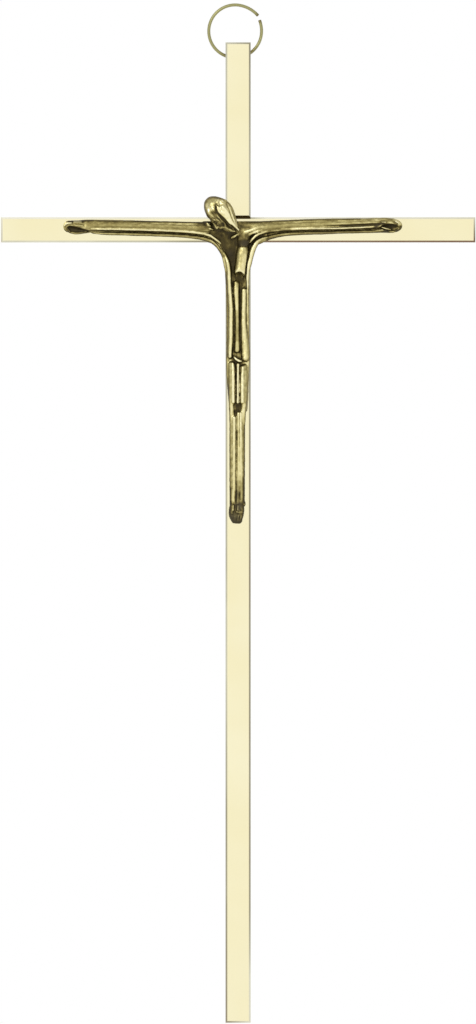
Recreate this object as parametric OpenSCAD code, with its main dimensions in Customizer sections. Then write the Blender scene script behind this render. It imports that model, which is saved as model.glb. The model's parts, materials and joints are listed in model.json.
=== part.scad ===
// Wall crucifix: two flat brass bars halved into each other, a cast figure held
// by rivet pins, and an open wire ring that turns in a hole drilled across the
// top of the upright.
// X runs to the right, Y towards the wall and Z up. The origin is where a nail
// bears on the inside of the ring, over the middle of the upright.

/* [Bars] */
// Length of the upright
upright_l = 250; // [200:1:320]
// Length of the crossbar
crossbar_l = 121; // [100:1:160]
// Width of both bars, seen from the front
bar_w = 6.4; // [5.6:0.1:8]
// Thickness of both bars
bar_t = 4; // [3.2:0.1:6]
// Width of the bevel round the front faces
front_bevel = 0.45; // [0.2:0.05:0.8]
// Width of the bevel round the back faces
back_bevel = 0.2; // [0.1:0.05:0.5]
// Middle of the crossbar below the top of the upright
crossbar_drop = 47.8; // [35:0.1:70]

/* [Hanging ring] */
// Diameter of the ring along the middle of its wire
ring_d = 13.46; // [12:0.02:20]
// Diameter of the ring's wire
wire_d = 0.8; // [0.6:0.05:1.1]
// How far the ring has slid to the left through its hole
ring_shift = 0.75; // [0:0.05:1]
// Middle of the ring's hole below the top of the upright
ring_hole_drop = 3.15; // [2.4:0.05:8]
// Clearance all round the wire where it is tightest in its hole
ring_play = 0.05; // [0.02:0.01:0.1]
// Opening between the two ends of the wire
ring_gap = 1.05; // [0.2:0.05:2]
// Where the opening is, in degrees above the ring's right side
ring_gap_angle = 29.5; // [20:0.5:160]

/* [Figure] */
// From the middle of the crossbar to the left fingertips
reach_left = 44.4; // [30:0.1:48]
// From the middle of the crossbar to the right fingertips
reach_right = 41.8; // [30:0.1:48]
// From the middle of the crossbar down to the toes
figure_drop = 74.9; // [60:0.1:110]
// Width of the trunk
body_w = 5; // [4:0.1:6]
// How far the trunk stands out from the bars
body_relief = 3; // [2:0.1:5]
// Width of an arm
arm_w = 3.5; // [2.5:0.1:4.5]
// How far an arm stands out from the bars
arm_relief = 1.9; // [1.2:0.1:3]
// Depth of the hollow in each open hand
palm_depth = 0.7; // [0.2:0.1:0.9]
// Length of the head and hair, from crown to chin
head_l = 10.4; // [8:0.1:13]
// Width of the head and hair at the crown
head_w = 7.2; // [5:0.1:8]
// How far the head leans, in degrees from upright
head_lean = 46; // [20:1:60]

/* [Pins] */
// Diameter of the pins that hold the figure
pin_d = 1.6; // [1:0.1:2.2]
// Diameter of a pin's hammered head
pin_head_d = 2.8; // [2.4:0.1:3.4]
// Depth of a pin's hammered head
pin_head_t = 0.7; // [0.3:0.1:1]
// Clearance all round a pin in its hole
pin_play = 0.03; // [0.01:0.01:0.1]

/* [Hidden] */
$fn = 96;

// Facets of the figure's rounded stations
limb_fn = 18;
head_fn = 30;

// Every cut runs this far past what it cuts
overrun = 1;

// The ring: its middle lies below the nail by the height of the inner circle there
ring_r = ring_d / 2;
wire_r = wire_d / 2;
ring_drop = sqrt(pow(ring_r - wire_r, 2) - pow(ring_shift, 2));
ring_gap_turn = 2 * asin(ring_gap / ring_d);

// The hole takes in the wire from its lowest point up to where it leaves the right side
mouth_x = bar_w / 2 + ring_shift;
mouth_drop = sqrt(pow(ring_r, 2) - pow(mouth_x, 2));
wire_top = wire_r * ring_r / mouth_drop - mouth_drop;
wire_low = -ring_r - wire_r;
ring_hole_r = (wire_top - wire_low) / 2 + ring_play;
ring_hole_z = (wire_top + wire_low) / 2 - ring_drop;

// Heights of the bars
upright_top = ring_hole_z + ring_hole_drop;
cross_z = upright_top - crossbar_drop;
front_y = -bar_t / 2;
back_y = bar_t / 2;

// The figure's tables. Across is a share of body_w from the middle of the upright
// and down a share of figure_drop from the middle of the crossbar. Half width is
// a share of body_w and relief a share of body_relief.
// Columns: across, down, half width, relief
left_side_shares = [
    [-1.92, -0.005, 0.34, 0.60], [-1.22, 0.010, 0.31, 0.64], [-0.80, 0.040, 0.27, 0.70],
    [-0.54, 0.092, 0.21, 0.68], [-0.43, 0.153, 0.16, 0.64], [-0.37, 0.210, 0.14, 0.62],
    [-0.35, 0.310, 0.13, 0.60], [-0.37, 0.425, 0.15, 0.68]
];
right_side_shares = [
    [1.26, -0.009, 0.34, 0.60], [0.92, 0.014, 0.29, 0.64], [0.62, 0.054, 0.24, 0.70],
    [0.47, 0.107, 0.18, 0.68], [0.40, 0.165, 0.15, 0.62], [0.34, 0.240, 0.14, 0.60],
    [0.33, 0.330, 0.14, 0.60], [0.38, 0.400, 0.18, 0.72], [0.41, 0.438, 0.19, 0.80]
];
chest_shares = [
    [-0.30, 0.012, 0.36, 0.62], [0.08, 0.056, 0.32, 0.82], [0.22, 0.100, 0.21, 0.92],
    [0.20, 0.143, 0.18, 0.90]
];
cloth_shares = [
    [-0.02, 0.200, 0.12, 0.56], [0.02, 0.300, 0.08, 0.58], [0.00, 0.400, 0.10, 0.60],
    [-0.02, 0.448, 0.12, 0.72]
];
left_thigh_shares = [[-0.31, 0.450, 0.18, 0.70], [-0.29, 0.520, 0.17, 0.82], [-0.27, 0.590, 0.16, 0.94]];
right_thigh_shares = [[0.27, 0.450, 0.21, 0.78], [0.25, 0.520, 0.20, 0.86], [0.22, 0.590, 0.17, 0.98]];
left_shin_shares = [[-0.25, 0.615, 0.18, 0.84], [-0.25, 0.760, 0.19, 0.70], [-0.26, 0.915, 0.18, 0.58]];
right_shin_shares = [[0.16, 0.615, 0.20, 0.86], [0.15, 0.760, 0.20, 0.70], [0.14, 0.915, 0.19, 0.58]];
left_foot_shares = [[-0.27, 0.938, 0.22, 0.66], [-0.16, 0.981, 0.26, 0.78]];
right_foot_shares = [[0.14, 0.934, 0.22, 0.66], [0.03, 0.981, 0.26, 0.74]];
web_shares = [
    [-0.05, 0.080, 0.52, 0.45], [0.00, 0.130, 0.44, 0.40],
    [0.00, 0.200, 0.40, 0.36], [0.00, 0.420, 0.40, 0.42], [0.00, 0.590, 0.36, 0.55],
    [-0.05, 0.650, 0.34, 0.42], [-0.06, 0.960, 0.34, 0.42]
];
neck_shares = [[0.00, 0.030, 0.30, 0.76], [-0.36, -0.020, 0.32, 1.05]];
breast_shares = [
    [-1.30, -0.004, 0.26, 0.48], [0.95, -0.006, 0.26, 0.48], [-0.85, 0.016, 0.20, 0.48],
    [0.68, 0.016, 0.20, 0.48], [-0.36, 0.095, 0.22, 0.48], [0.30, 0.095, 0.22, 0.48]
];

// An arm's stations: share of the way from the shoulder to the fingertips, share
// of arm_w above the shoulder, half width and relief as shares of arm_w and arm_relief
upper_arm_shares = [[0, 0.09, 0.40, 1], [0.45, 0.12, 0.41, 0.98], [0.84, 0.10, 0.36, 0.96]];
lower_arm_shares = [[0, -0.33, 0.18, 0.80], [0.45, -0.30, 0.17, 0.74], [0.86, -0.20, 0.15, 0.80]];
hand_shares = [[0.82, 0.06, 0.42, 0.94], [0.93, 0.02, 0.44, 0.92], [0.972, 0, 0.30, 0.76]];
palm_shares = [[0.865, -0.04, 0.12], [0.925, 0, 0.33], [0.965, 0, 0.20]];
left_hand_rise_share = 0.04;
right_hand_rise_share = 0.10;

// The head, in shares of its own length and width, from the crown to the chin
chin_w_share = 0.28;
temple_share = 0.60;
temple_w_share = 0.76;
head_back_share = 0.30;
head_x_share = -1.53;
head_z_share = 0.096;

// The pins: shares of each reach and of the figure's height
arm_pin_share = 0.66;
leg_pin_share = 0.73;
leg_pin_x_share = -0.04;
arm_line_share = 0.11;

// A bar lying along Z, with both faces bevelled all round
module bar(length) {
    intersection() {
        linear_extrude(length, center = true)
            bevelled_section(bar_w);
        rotate([0, -90, 0])
            linear_extrude(bar_w, center = true)
                bevelled_section(length);
    }
}

// The section of a bar: wide along X, with the front bevels at negative Y
module bevelled_section(width) {
    half = width / 2;
    polygon([
        [front_bevel - half, front_y], [half - front_bevel, front_y],
        [half, front_y + front_bevel], [half, back_y - back_bevel],
        [half - back_bevel, back_y], [back_bevel - half, back_y],
        [-half, back_y - back_bevel], [-half, front_y + front_bevel]
    ]);
}

// The halving in the front of the upright, with its mouth bevelled like the bars
module front_halving() {
    half = bar_w / 2;
    past = bar_w / 2 + overrun;
    rotate([0, -90, 0])
        linear_extrude(2 * past, center = true)
            polygon([
                [-half, 0], [half, 0], [half, front_y + front_bevel],
                [half + front_bevel + overrun, front_y - overrun],
                [-half - front_bevel - overrun, front_y - overrun],
                [-half, front_y + front_bevel]
            ]);
}

// The halving in the back of the crossbar
module back_halving() {
    past = bar_w + 2 * overrun;
    translate([-bar_w / 2, 0, -past / 2])
        cube([bar_w, back_y + overrun, past]);
}

// Where the pins stand: the two arms, the crossing and the shins
function arm_pin_places() = [
    [-reach_left * arm_pin_share, cross_z + arm_w * arm_line_share],
    [reach_right * arm_pin_share, cross_z + arm_w * arm_line_share]
];
function crossing_pin_place() = [0, cross_z];
function leg_pin_place() = [body_w * leg_pin_x_share, cross_z - figure_drop * leg_pin_share];

// A pin from the front faces to the back faces, fuller by the given play
module pin(place, play, past) {
    r = pin_d / 2 + play;
    head_r = pin_head_d / 2 + play;
    translate([place.x, front_y - past, place.y])
        rotate([-90, 0, 0])
            rotate_extrude()
                polygon([
                    [0, 0], [r, 0], [r, bar_t + past - pin_head_t],
                    [head_r, bar_t + past], [head_r, bar_t + 2 * past], [0, bar_t + 2 * past]
                ]);
}

module upright_bar() {
    color("palegoldenrod")
        difference() {
            translate([0, 0, upright_top - upright_l / 2])
                bar(upright_l);
            translate([0, 0, cross_z])
                front_halving();
            translate([0, 0, ring_hole_z])
                rotate([0, 90, 0])
                    cylinder(r = ring_hole_r, h = bar_w + 2 * overrun, center = true);
            pin(crossing_pin_place(), pin_play, overrun);
            pin(leg_pin_place(), pin_play, overrun);
        }
}

module crossbar() {
    color("palegoldenrod")
        difference() {
            translate([0, 0, cross_z])
                rotate([0, 90, 0])
                    bar(crossbar_l);
            translate([0, 0, cross_z])
                back_halving();
            for (place = arm_pin_places())
                pin(place, pin_play, overrun);
            pin(crossing_pin_place(), pin_play, overrun);
        }
}

module corpus_pins() {
    color("khaki") {
        for (place = arm_pin_places())
            pin(place, 0, 0);
        pin(crossing_pin_place(), 0, 0);
        pin(leg_pin_place(), 0, 0);
    }
}

module hanging_ring() {
    color("darkkhaki")
        translate([-ring_shift, 0, -ring_drop])
            rotate([90, 0, 0])
                rotate_extrude(
                    angle = 360 - ring_gap_turn,
                    start = ring_gap_angle + ring_gap_turn / 2
                )
                    translate([ring_r, 0])
                        circle(wire_r, $fn = 32);
}

// One rounded station of the figure, standing on the front faces
module station(x, z, half_width, relief) {
    translate([x, front_y, z])
        scale([half_width, relief, half_width])
            sphere(1, $fn = limb_fn);
}

module body_station(s) {
    station(s[0] * body_w, cross_z - s[1] * figure_drop, s[2] * body_w, s[3] * body_relief);
}

// A length of the figure through its stations
module body_run(shares) {
    for (i = [1:len(shares) - 1])
        hull() {
            body_station(shares[i - 1]);
            body_station(shares[i]);
        }
}

// A place on an arm, which runs out from the first station of that side of the trunk
function on_arm(s, side_shares, reach, rise_share) = let (
    shoulder_x = side_shares[0][0] * body_w,
    shoulder_z = cross_z - side_shares[0][1] * figure_drop
) [
    shoulder_x + s[0] * (reach - shoulder_x),
    shoulder_z + (s[1] + s[0] * rise_share) * arm_w
];

// A length of an arm through its stations
module arm_run(shares, side_shares, reach, rise_share) {
    for (i = [1:len(shares) - 1])
        hull()
            for (s = [shares[i - 1], shares[i]]) {
                place = on_arm(s, side_shares, reach, rise_share);
                station(place.x, place.y, s[2] * arm_w, s[3] * arm_relief);
            }
}

module arm(side_shares, reach, rise_share) {
    arm_run(upper_arm_shares, side_shares, reach, rise_share);
    arm_run(lower_arm_shares, side_shares, reach, rise_share);
    arm_run(hand_shares, side_shares, reach, rise_share);
}

// The hollow of an open hand, sunk into the arm's front
module palm(side_shares, reach, rise_share) {
    hull()
        for (s = palm_shares) {
            place = on_arm(s, side_shares, reach, rise_share);
            translate([place.x, front_y - arm_relief, place.y])
                scale([s[2] * arm_w, palm_depth, s[2] * arm_w])
                    sphere(1, $fn = limb_fn);
        }
}

// The bowed head with its hair, an egg that leans from the crown down to the chin
module head() {
    crown_r = head_w / 2;
    chin_r = crown_r * chin_w_share;
    translate([head_x_share * body_w, front_y, cross_z + head_z_share * figure_drop])
        rotate([0, -head_lean, 0])
            hull() {
                translate([0, -crown_r * (1 - head_back_share), -crown_r])
                    sphere(crown_r, $fn = head_fn);
                translate([0, -crown_r * temple_w_share, -head_l * temple_share])
                    sphere(crown_r * temple_w_share, $fn = head_fn);
                translate([0, -crown_r, chin_r - head_l])
                    sphere(chin_r, $fn = head_fn);
            }
}

// The breast between the two shoulders, under the head
module breast() {
    hull()
        for (s = breast_shares)
            body_station(s);
}

module corpus() {
    color("darkgoldenrod")
        difference() {
            union() {
                body_run(web_shares);
                body_run(left_side_shares);
                body_run(right_side_shares);
                body_run(chest_shares);
                body_run(cloth_shares);
                body_run(left_thigh_shares);
                body_run(right_thigh_shares);
                body_run(left_shin_shares);
                body_run(right_shin_shares);
                body_run(left_foot_shares);
                body_run(right_foot_shares);
                body_run(neck_shares);
                breast();
                arm(left_side_shares, -reach_left, left_hand_rise_share);
                arm(right_side_shares, reach_right, right_hand_rise_share);
                head();
            }
            palm(left_side_shares, -reach_left, left_hand_rise_share);
            palm(right_side_shares, reach_right, right_hand_rise_share);
            // The back is flat on the bars
            translate([-crossbar_l / 2, front_y, cross_z - upright_l])
                cube([crossbar_l, bar_t + 2 * body_relief, upright_l + crossbar_drop]);
        }
}

upright_bar();
crossbar();
corpus();
corpus_pins();
hanging_ring();
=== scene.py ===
# A slender wall crucifix: polished brass bars, a figure cast in antique brass, a wire ring and rivets
import json
import math

import bmesh
import bpy
import numpy as np
from mathutils import Matrix, Vector


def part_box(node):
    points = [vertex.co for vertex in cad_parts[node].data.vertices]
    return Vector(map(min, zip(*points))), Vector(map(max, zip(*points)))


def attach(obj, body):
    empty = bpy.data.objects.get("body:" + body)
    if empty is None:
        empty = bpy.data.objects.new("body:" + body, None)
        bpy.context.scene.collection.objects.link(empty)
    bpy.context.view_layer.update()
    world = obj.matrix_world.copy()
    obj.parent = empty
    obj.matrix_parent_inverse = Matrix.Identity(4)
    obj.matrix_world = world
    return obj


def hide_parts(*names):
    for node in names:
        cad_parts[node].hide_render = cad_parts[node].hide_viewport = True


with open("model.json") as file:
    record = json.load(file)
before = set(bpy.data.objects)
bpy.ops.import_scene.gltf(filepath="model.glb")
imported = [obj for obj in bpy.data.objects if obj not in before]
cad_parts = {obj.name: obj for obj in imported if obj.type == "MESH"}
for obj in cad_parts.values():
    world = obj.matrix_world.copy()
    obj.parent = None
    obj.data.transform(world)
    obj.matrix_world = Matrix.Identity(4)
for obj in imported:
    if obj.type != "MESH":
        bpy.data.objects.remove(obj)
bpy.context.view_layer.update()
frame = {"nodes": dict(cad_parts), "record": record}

MM = 0.001
WHITE = (1, 1, 1, 1)

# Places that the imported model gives
UPRIGHT_LOW, UPRIGHT_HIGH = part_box("upright_bar")
CROSSBAR_LOW, CROSSBAR_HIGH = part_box("crossbar")
RING_LOW, RING_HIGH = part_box("hanging_ring")
PINS_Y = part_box("corpus_pins")[0].y
FRONT_Y = UPRIGHT_LOW.y
BACK_Y = UPRIGHT_HIGH.y
BAR_W = UPRIGHT_HIGH.x - UPRIGHT_LOW.x
BAR_T = BACK_Y - FRONT_Y
CROSS_Z = (CROSSBAR_LOW.z + CROSSBAR_HIGH.z) / 2
SWING_Z = frame["record"]["behaviour"]["joints"][0]["pos_m"][2]

# The photograph's frame, where the upright stands in it, and a long lens
PHOTO_H = 1024
PHOTO_MID_PX = 238
UPRIGHT_PX = 980.5
UPRIGHT_TOP_PX = 42.3
UPRIGHT_MID_PX = 238.1
LENS_MM = 400
SENSOR_MM = 36
CLIP_START = 0.01
CLIP_END = 100


def new_object(name, data):
    """An object in the scene, made from a mesh, a lamp or a camera."""
    item = bpy.data.objects.new(name, data)
    bpy.context.scene.collection.objects.link(item)
    return item


def new_mesh(name, form):
    """A mesh made from an edited form, which is let go."""
    mesh = bpy.data.meshes.new(name)
    form.to_mesh(mesh)
    form.free()
    return mesh


def new_piece(name, mesh, materials, body, node):
    """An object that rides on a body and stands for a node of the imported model."""
    piece = new_object(name, mesh)
    for material in materials:
        mesh.materials.append(material)
    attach(piece, body)
    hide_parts(node)
    return piece


def place_camera():
    """The photograph's view: straight at the front, from a long way off."""
    metres_per_px = (UPRIGHT_HIGH.z - UPRIGHT_LOW.z) / UPRIGHT_PX
    distance = PHOTO_H * metres_per_px * LENS_MM / SENSOR_MM
    data = bpy.data.cameras.new("camera")
    data.lens = LENS_MM
    data.sensor_width = SENSOR_MM
    data.clip_start = CLIP_START
    data.clip_end = CLIP_END
    camera = new_object("camera", data)
    camera.location = (
        (PHOTO_MID_PX - UPRIGHT_MID_PX) * metres_per_px,
        FRONT_Y - distance,
        UPRIGHT_HIGH.z - (PHOTO_H / 2 - UPRIGHT_TOP_PX) * metres_per_px,
    )
    camera.rotation_euler = (math.radians(90), 0, 0)
    bpy.context.scene.camera = camera


def srgb(red, green, blue):
    """A colour given in the 0 to 255 steps of a picture, as linear light."""
    linear = []
    for step in (red, green, blue):
        share = step / 255
        low = share / 12.92
        high = ((share + 0.055) / 1.055) ** 2.4
        linear.append(low if share <= 0.04045 else high)
    return (*linear, 1)


class Nodes:
    """The node tree of a material or the world, with short names for what is used here."""

    def __init__(self, owner):
        owner.use_nodes = True
        self.tree = owner.node_tree
        self.tree.nodes.clear()

    def add(self, kind, inputs=(), **settings):
        """The outputs of a new node, whose inputs are given as values or as other outputs."""
        node = self.tree.nodes.new(kind)
        for name, value in settings.items():
            setattr(node, name, value)
        for name, value in dict(inputs).items():
            if isinstance(value, bpy.types.NodeSocket):
                self.tree.links.new(value, node.inputs[name])
            else:
                node.inputs[name].default_value = value
        return node.outputs

    def math(self, operation, first, second):
        return self.add("ShaderNodeMath", {0: first, 1: second}, operation=operation)[0]

    def attribute(self, name):
        return self.add("ShaderNodeAttribute", attribute_name=name)["Fac"]

    def ramp(self, factor, stops):
        """Colours or greys at stops from 0 to 1, blended evenly."""
        node = self.tree.nodes.new("ShaderNodeValToRGB")
        band = node.color_ramp.elements
        while len(band) < len(stops):
            band.new(0.5)
        for element, (place, colour) in zip(band, stops):
            element.position = place
            element.color = colour if isinstance(colour, tuple) else (colour, colour, colour, 1)
        self.tree.links.new(factor, node.inputs["Fac"])
        return node.outputs["Color"]

    def noise(self, scale, detail=2, rough=0.5, stretch=(1, 1, 1)):
        """Noise over the object's own coordinates, finer by the stretch on each axis."""
        coords = self.add("ShaderNodeTexCoord")["Object"]
        spread = self.add("ShaderNodeMapping", {"Vector": coords, "Scale": stretch})["Vector"]
        values = {"Vector": spread, "Scale": scale, "Detail": detail, "Roughness": rough}
        return self.add("ShaderNodeTexNoise", values)["Fac"]

    def sway(self, value, noise, depth):
        """A value that noise moves up and down."""
        moved = self.math("MULTIPLY", self.math("SUBTRACT", noise, 0.5), depth)
        return self.math("ADD", value, moved)

    def bump(self, height, strength, distance):
        values = {"Height": height, "Strength": strength, "Distance": distance}
        return self.add("ShaderNodeBump", values)["Normal"]

    def metal(self, colour, roughness, metallic=1, **more):
        """Ends a material's tree with a shader, whose values are given like a node's inputs."""
        values = {"Base Color": colour, "Roughness": roughness, "Metallic": metallic, **more}
        shader = self.add("ShaderNodeBsdfPrincipled", values)["BSDF"]
        self.add("ShaderNodeOutputMaterial", {"Surface": shader})

    def mix(self, share, first, second):
        """The first shader, with a share of the second one."""
        return self.add("ShaderNodeMixShader", {0: share, 1: first, 2: second})[0]

    def light(self, kind, colour, strength):
        return self.add(kind, {"Color": colour, "Strength": strength})[0]


def new_material(name):
    material = bpy.data.materials.new(name)
    return material, Nodes(material)


def polished_brass():
    """Pale brass, polished nearly to a mirror and very slightly uneven."""
    material, nodes = new_material("polished_brass")
    cloud = nodes.noise(45, detail=3)
    colour = nodes.ramp(cloud, [(0.3, srgb(246, 237, 194)), (0.7, srgb(249, 242, 205))])
    roughness = nodes.ramp(nodes.noise(160, detail=4), [(0.3, 0.07), (0.75, 0.13)])
    dents = nodes.bump(nodes.noise(900, detail=3), 0.05, 0.02 * MM)
    nodes.metal(colour, roughness, Normal=dents)
    return material


def bevel_brass():
    """The narrow bevels, less polished and unevenly tarnished, and darkened with painted reflection."""
    material, nodes = new_material("bevel_brass")
    tarnish_and_reflection = nodes.sway(nodes.attribute("tarnish_and_reflection"), nodes.noise(60, detail=4, rough=0.6), 0.3)
    colour = nodes.ramp(tarnish_and_reflection, [
        (0.0, srgb(250, 246, 226)), (0.3, srgb(226, 223, 200)), (0.65, srgb(168, 163, 138)),
        (1.0, srgb(128, 98, 78)),
    ])
    nodes.metal(colour, 0.2)
    return material


def seam_grime_and_shade():
    """Brass in the groove between the two bars, darkened by grime and by painted shade."""
    material, nodes = new_material("seam_grime_and_shade")
    cloud = nodes.noise(300, detail=3)
    colour = nodes.ramp(cloud, [(0.3, srgb(84, 68, 34)), (0.75, srgb(122, 104, 62))])
    nodes.metal(colour, 0.5, 0.85)
    return material


def antique_brass():
    """Cast brass, with patina in its hollows and rubbed bright on its ridges, plus painted shade and
    painted highlights that follow how each part faces and lies.
    """
    material, nodes = new_material("antique_brass")
    speckle = nodes.noise(1700, detail=4, rough=0.65)
    rubbed_and_shaded = nodes.sway(nodes.attribute("rubbed_and_shaded"), speckle, 0.2)
    rubbed_and_shaded = nodes.sway(rubbed_and_shaded, nodes.noise(500, detail=3), 0.2)
    warm = nodes.ramp(rubbed_and_shaded, [
        (0.0, srgb(52, 42, 8)), (0.2, srgb(88, 76, 34)), (0.4, srgb(146, 132, 78)),
        (0.55, srgb(182, 170, 112)), (0.75, srgb(230, 218, 158)), (1.0, srgb(253, 245, 198)),
    ])
    grey = nodes.ramp(rubbed_and_shaded, [
        (0.0, srgb(70, 62, 42)), (0.3, srgb(112, 104, 76)), (0.6, srgb(176, 168, 132)),
        (1.0, srgb(236, 230, 200)),
    ])
    mixed = {"Factor": nodes.attribute("dull_and_shade"), 6: warm, 7: grey}
    colour = nodes.add("ShaderNodeMix", mixed, data_type="RGBA")[2]
    roughness = nodes.ramp(rubbed_and_shaded, [(0.1, 0.55), (0.5, 0.36), (0.95, 0.29)])
    metallic = nodes.ramp(rubbed_and_shaded, [(0.1, 0.55), (0.6, 1.0)])
    nodes.metal(colour, roughness, metallic, Normal=nodes.bump(speckle, 0.25, 0.04 * MM))
    return material


def ring_brass():
    """Drawn brass wire, olive with tarnish, browner at its cut ends, and darker with painted shade where
    it meets the bar.
    """
    material, nodes = new_material("ring_brass")
    cloud = nodes.noise(320, detail=3)
    colour = nodes.ramp(nodes.sway(nodes.attribute("worn_and_shaded"), cloud, 0.5), [
        (0.0, srgb(98, 80, 52)), (0.35, srgb(132, 124, 82)), (0.8, srgb(164, 160, 112)),
    ])
    roughness = nodes.ramp(cloud, [(0.3, 0.28), (0.7, 0.4)])
    nodes.metal(colour, roughness, Normal=nodes.bump(nodes.noise(2500), 0.1, 0.03 * MM))
    return material


def pin_brass():
    """Rivet heads, hammered and filed flush."""
    material, nodes = new_material("pin_brass")
    marks = nodes.noise(1200, stretch=(8, 1, 1))
    colour = nodes.ramp(marks, [(0.3, srgb(196, 180, 120)), (0.7, srgb(228, 214, 158))])
    nodes.metal(colour, 0.34, Normal=nodes.bump(marks, 0.3, 0.02 * MM))
    return material


# The casting, in millimetres: across and up from the crossing's middle, and out from the bars' fronts
CELL = 0.145
CASTING_LOW = (-46.5, -76.5, -3 * CELL)
CASTING_HIGH = (44.5, 9.5, 7.2)
FAR = 2.0
REACH = 0.9
STEP = 0.8
TINY = 1e-6
AT_MIDDLE = 0.001
CORNER_FILL = -0.02
CORNER_ROUNDS = 6
FLAT_ANGLE = 0.001
FLOOR_EDGE = 0.3

# A standing run has straight walls and a rounded top, a round one is free, and a cut one is taken away
STANDING, ROUND, CUT = "standing", "round", "cut"


def whole_rows(rows):
    """The rows of a run, each with the numbers that it leaves out taken from the row before."""
    whole = []
    for row in rows:
        whole.append((*row, *whole[-1][len(row):]) if whole else row)
    return np.array(whole, float)


def smooth_rows(rows):
    """The rows of a run, with a smooth curve through them in short steps."""
    rows = whole_rows(rows)
    before = 2 * rows[0] - rows[1]
    after = 2 * rows[-1] - rows[-2]
    padded = np.vstack([before, rows, after])
    pieces = []
    for i in range(len(rows) - 1):
        p0, p1, p2, p3 = padded[i:i + 4]
        count = max(1, math.ceil(np.linalg.norm((p2 - p1)[:3]) / STEP))
        t = np.linspace(0, 1, count, endpoint=False)[:, None]
        bend = (p2 - p0) * t + (2 * p0 - 5 * p1 + 4 * p2 - p3) * t ** 2
        pieces.append(p1 + 0.5 * (bend + (3 * p1 - p0 - 3 * p2 + p3) * t ** 3))
    pieces.append(rows[-1:])
    return np.vstack(pieces)


def run_distance(grid, first, last, standing):
    """Distance to a length of a run, whose half width and rise change along it."""
    along = last[:3] - first[:3]
    length = max(along @ along, TINY)
    t = sum((axis - start) * step for axis, start, step in zip(grid, first, along)) / length
    t = np.clip(t, 0, 1)
    half = first[3] + t * (last[3] - first[3])
    rise = first[4] + t * (last[4] - first[4])
    side = np.sqrt(sum((grid[i] - first[i] - t * along[i]) ** 2 for i in (0, 1)))
    out = grid[2] - first[2] - t * along[2]
    if standing:
        out = np.maximum(out, 0)
    size = np.sqrt((side / half) ** 2 + (out / rise) ** 2)
    slope = np.sqrt((side / half ** 2) ** 2 + (out / rise ** 2) ** 2)
    near = size * (size - 1) / np.maximum(slope, TINY)
    return np.where(size > AT_MIDDLE, near, -np.minimum(half, rise))


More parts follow.
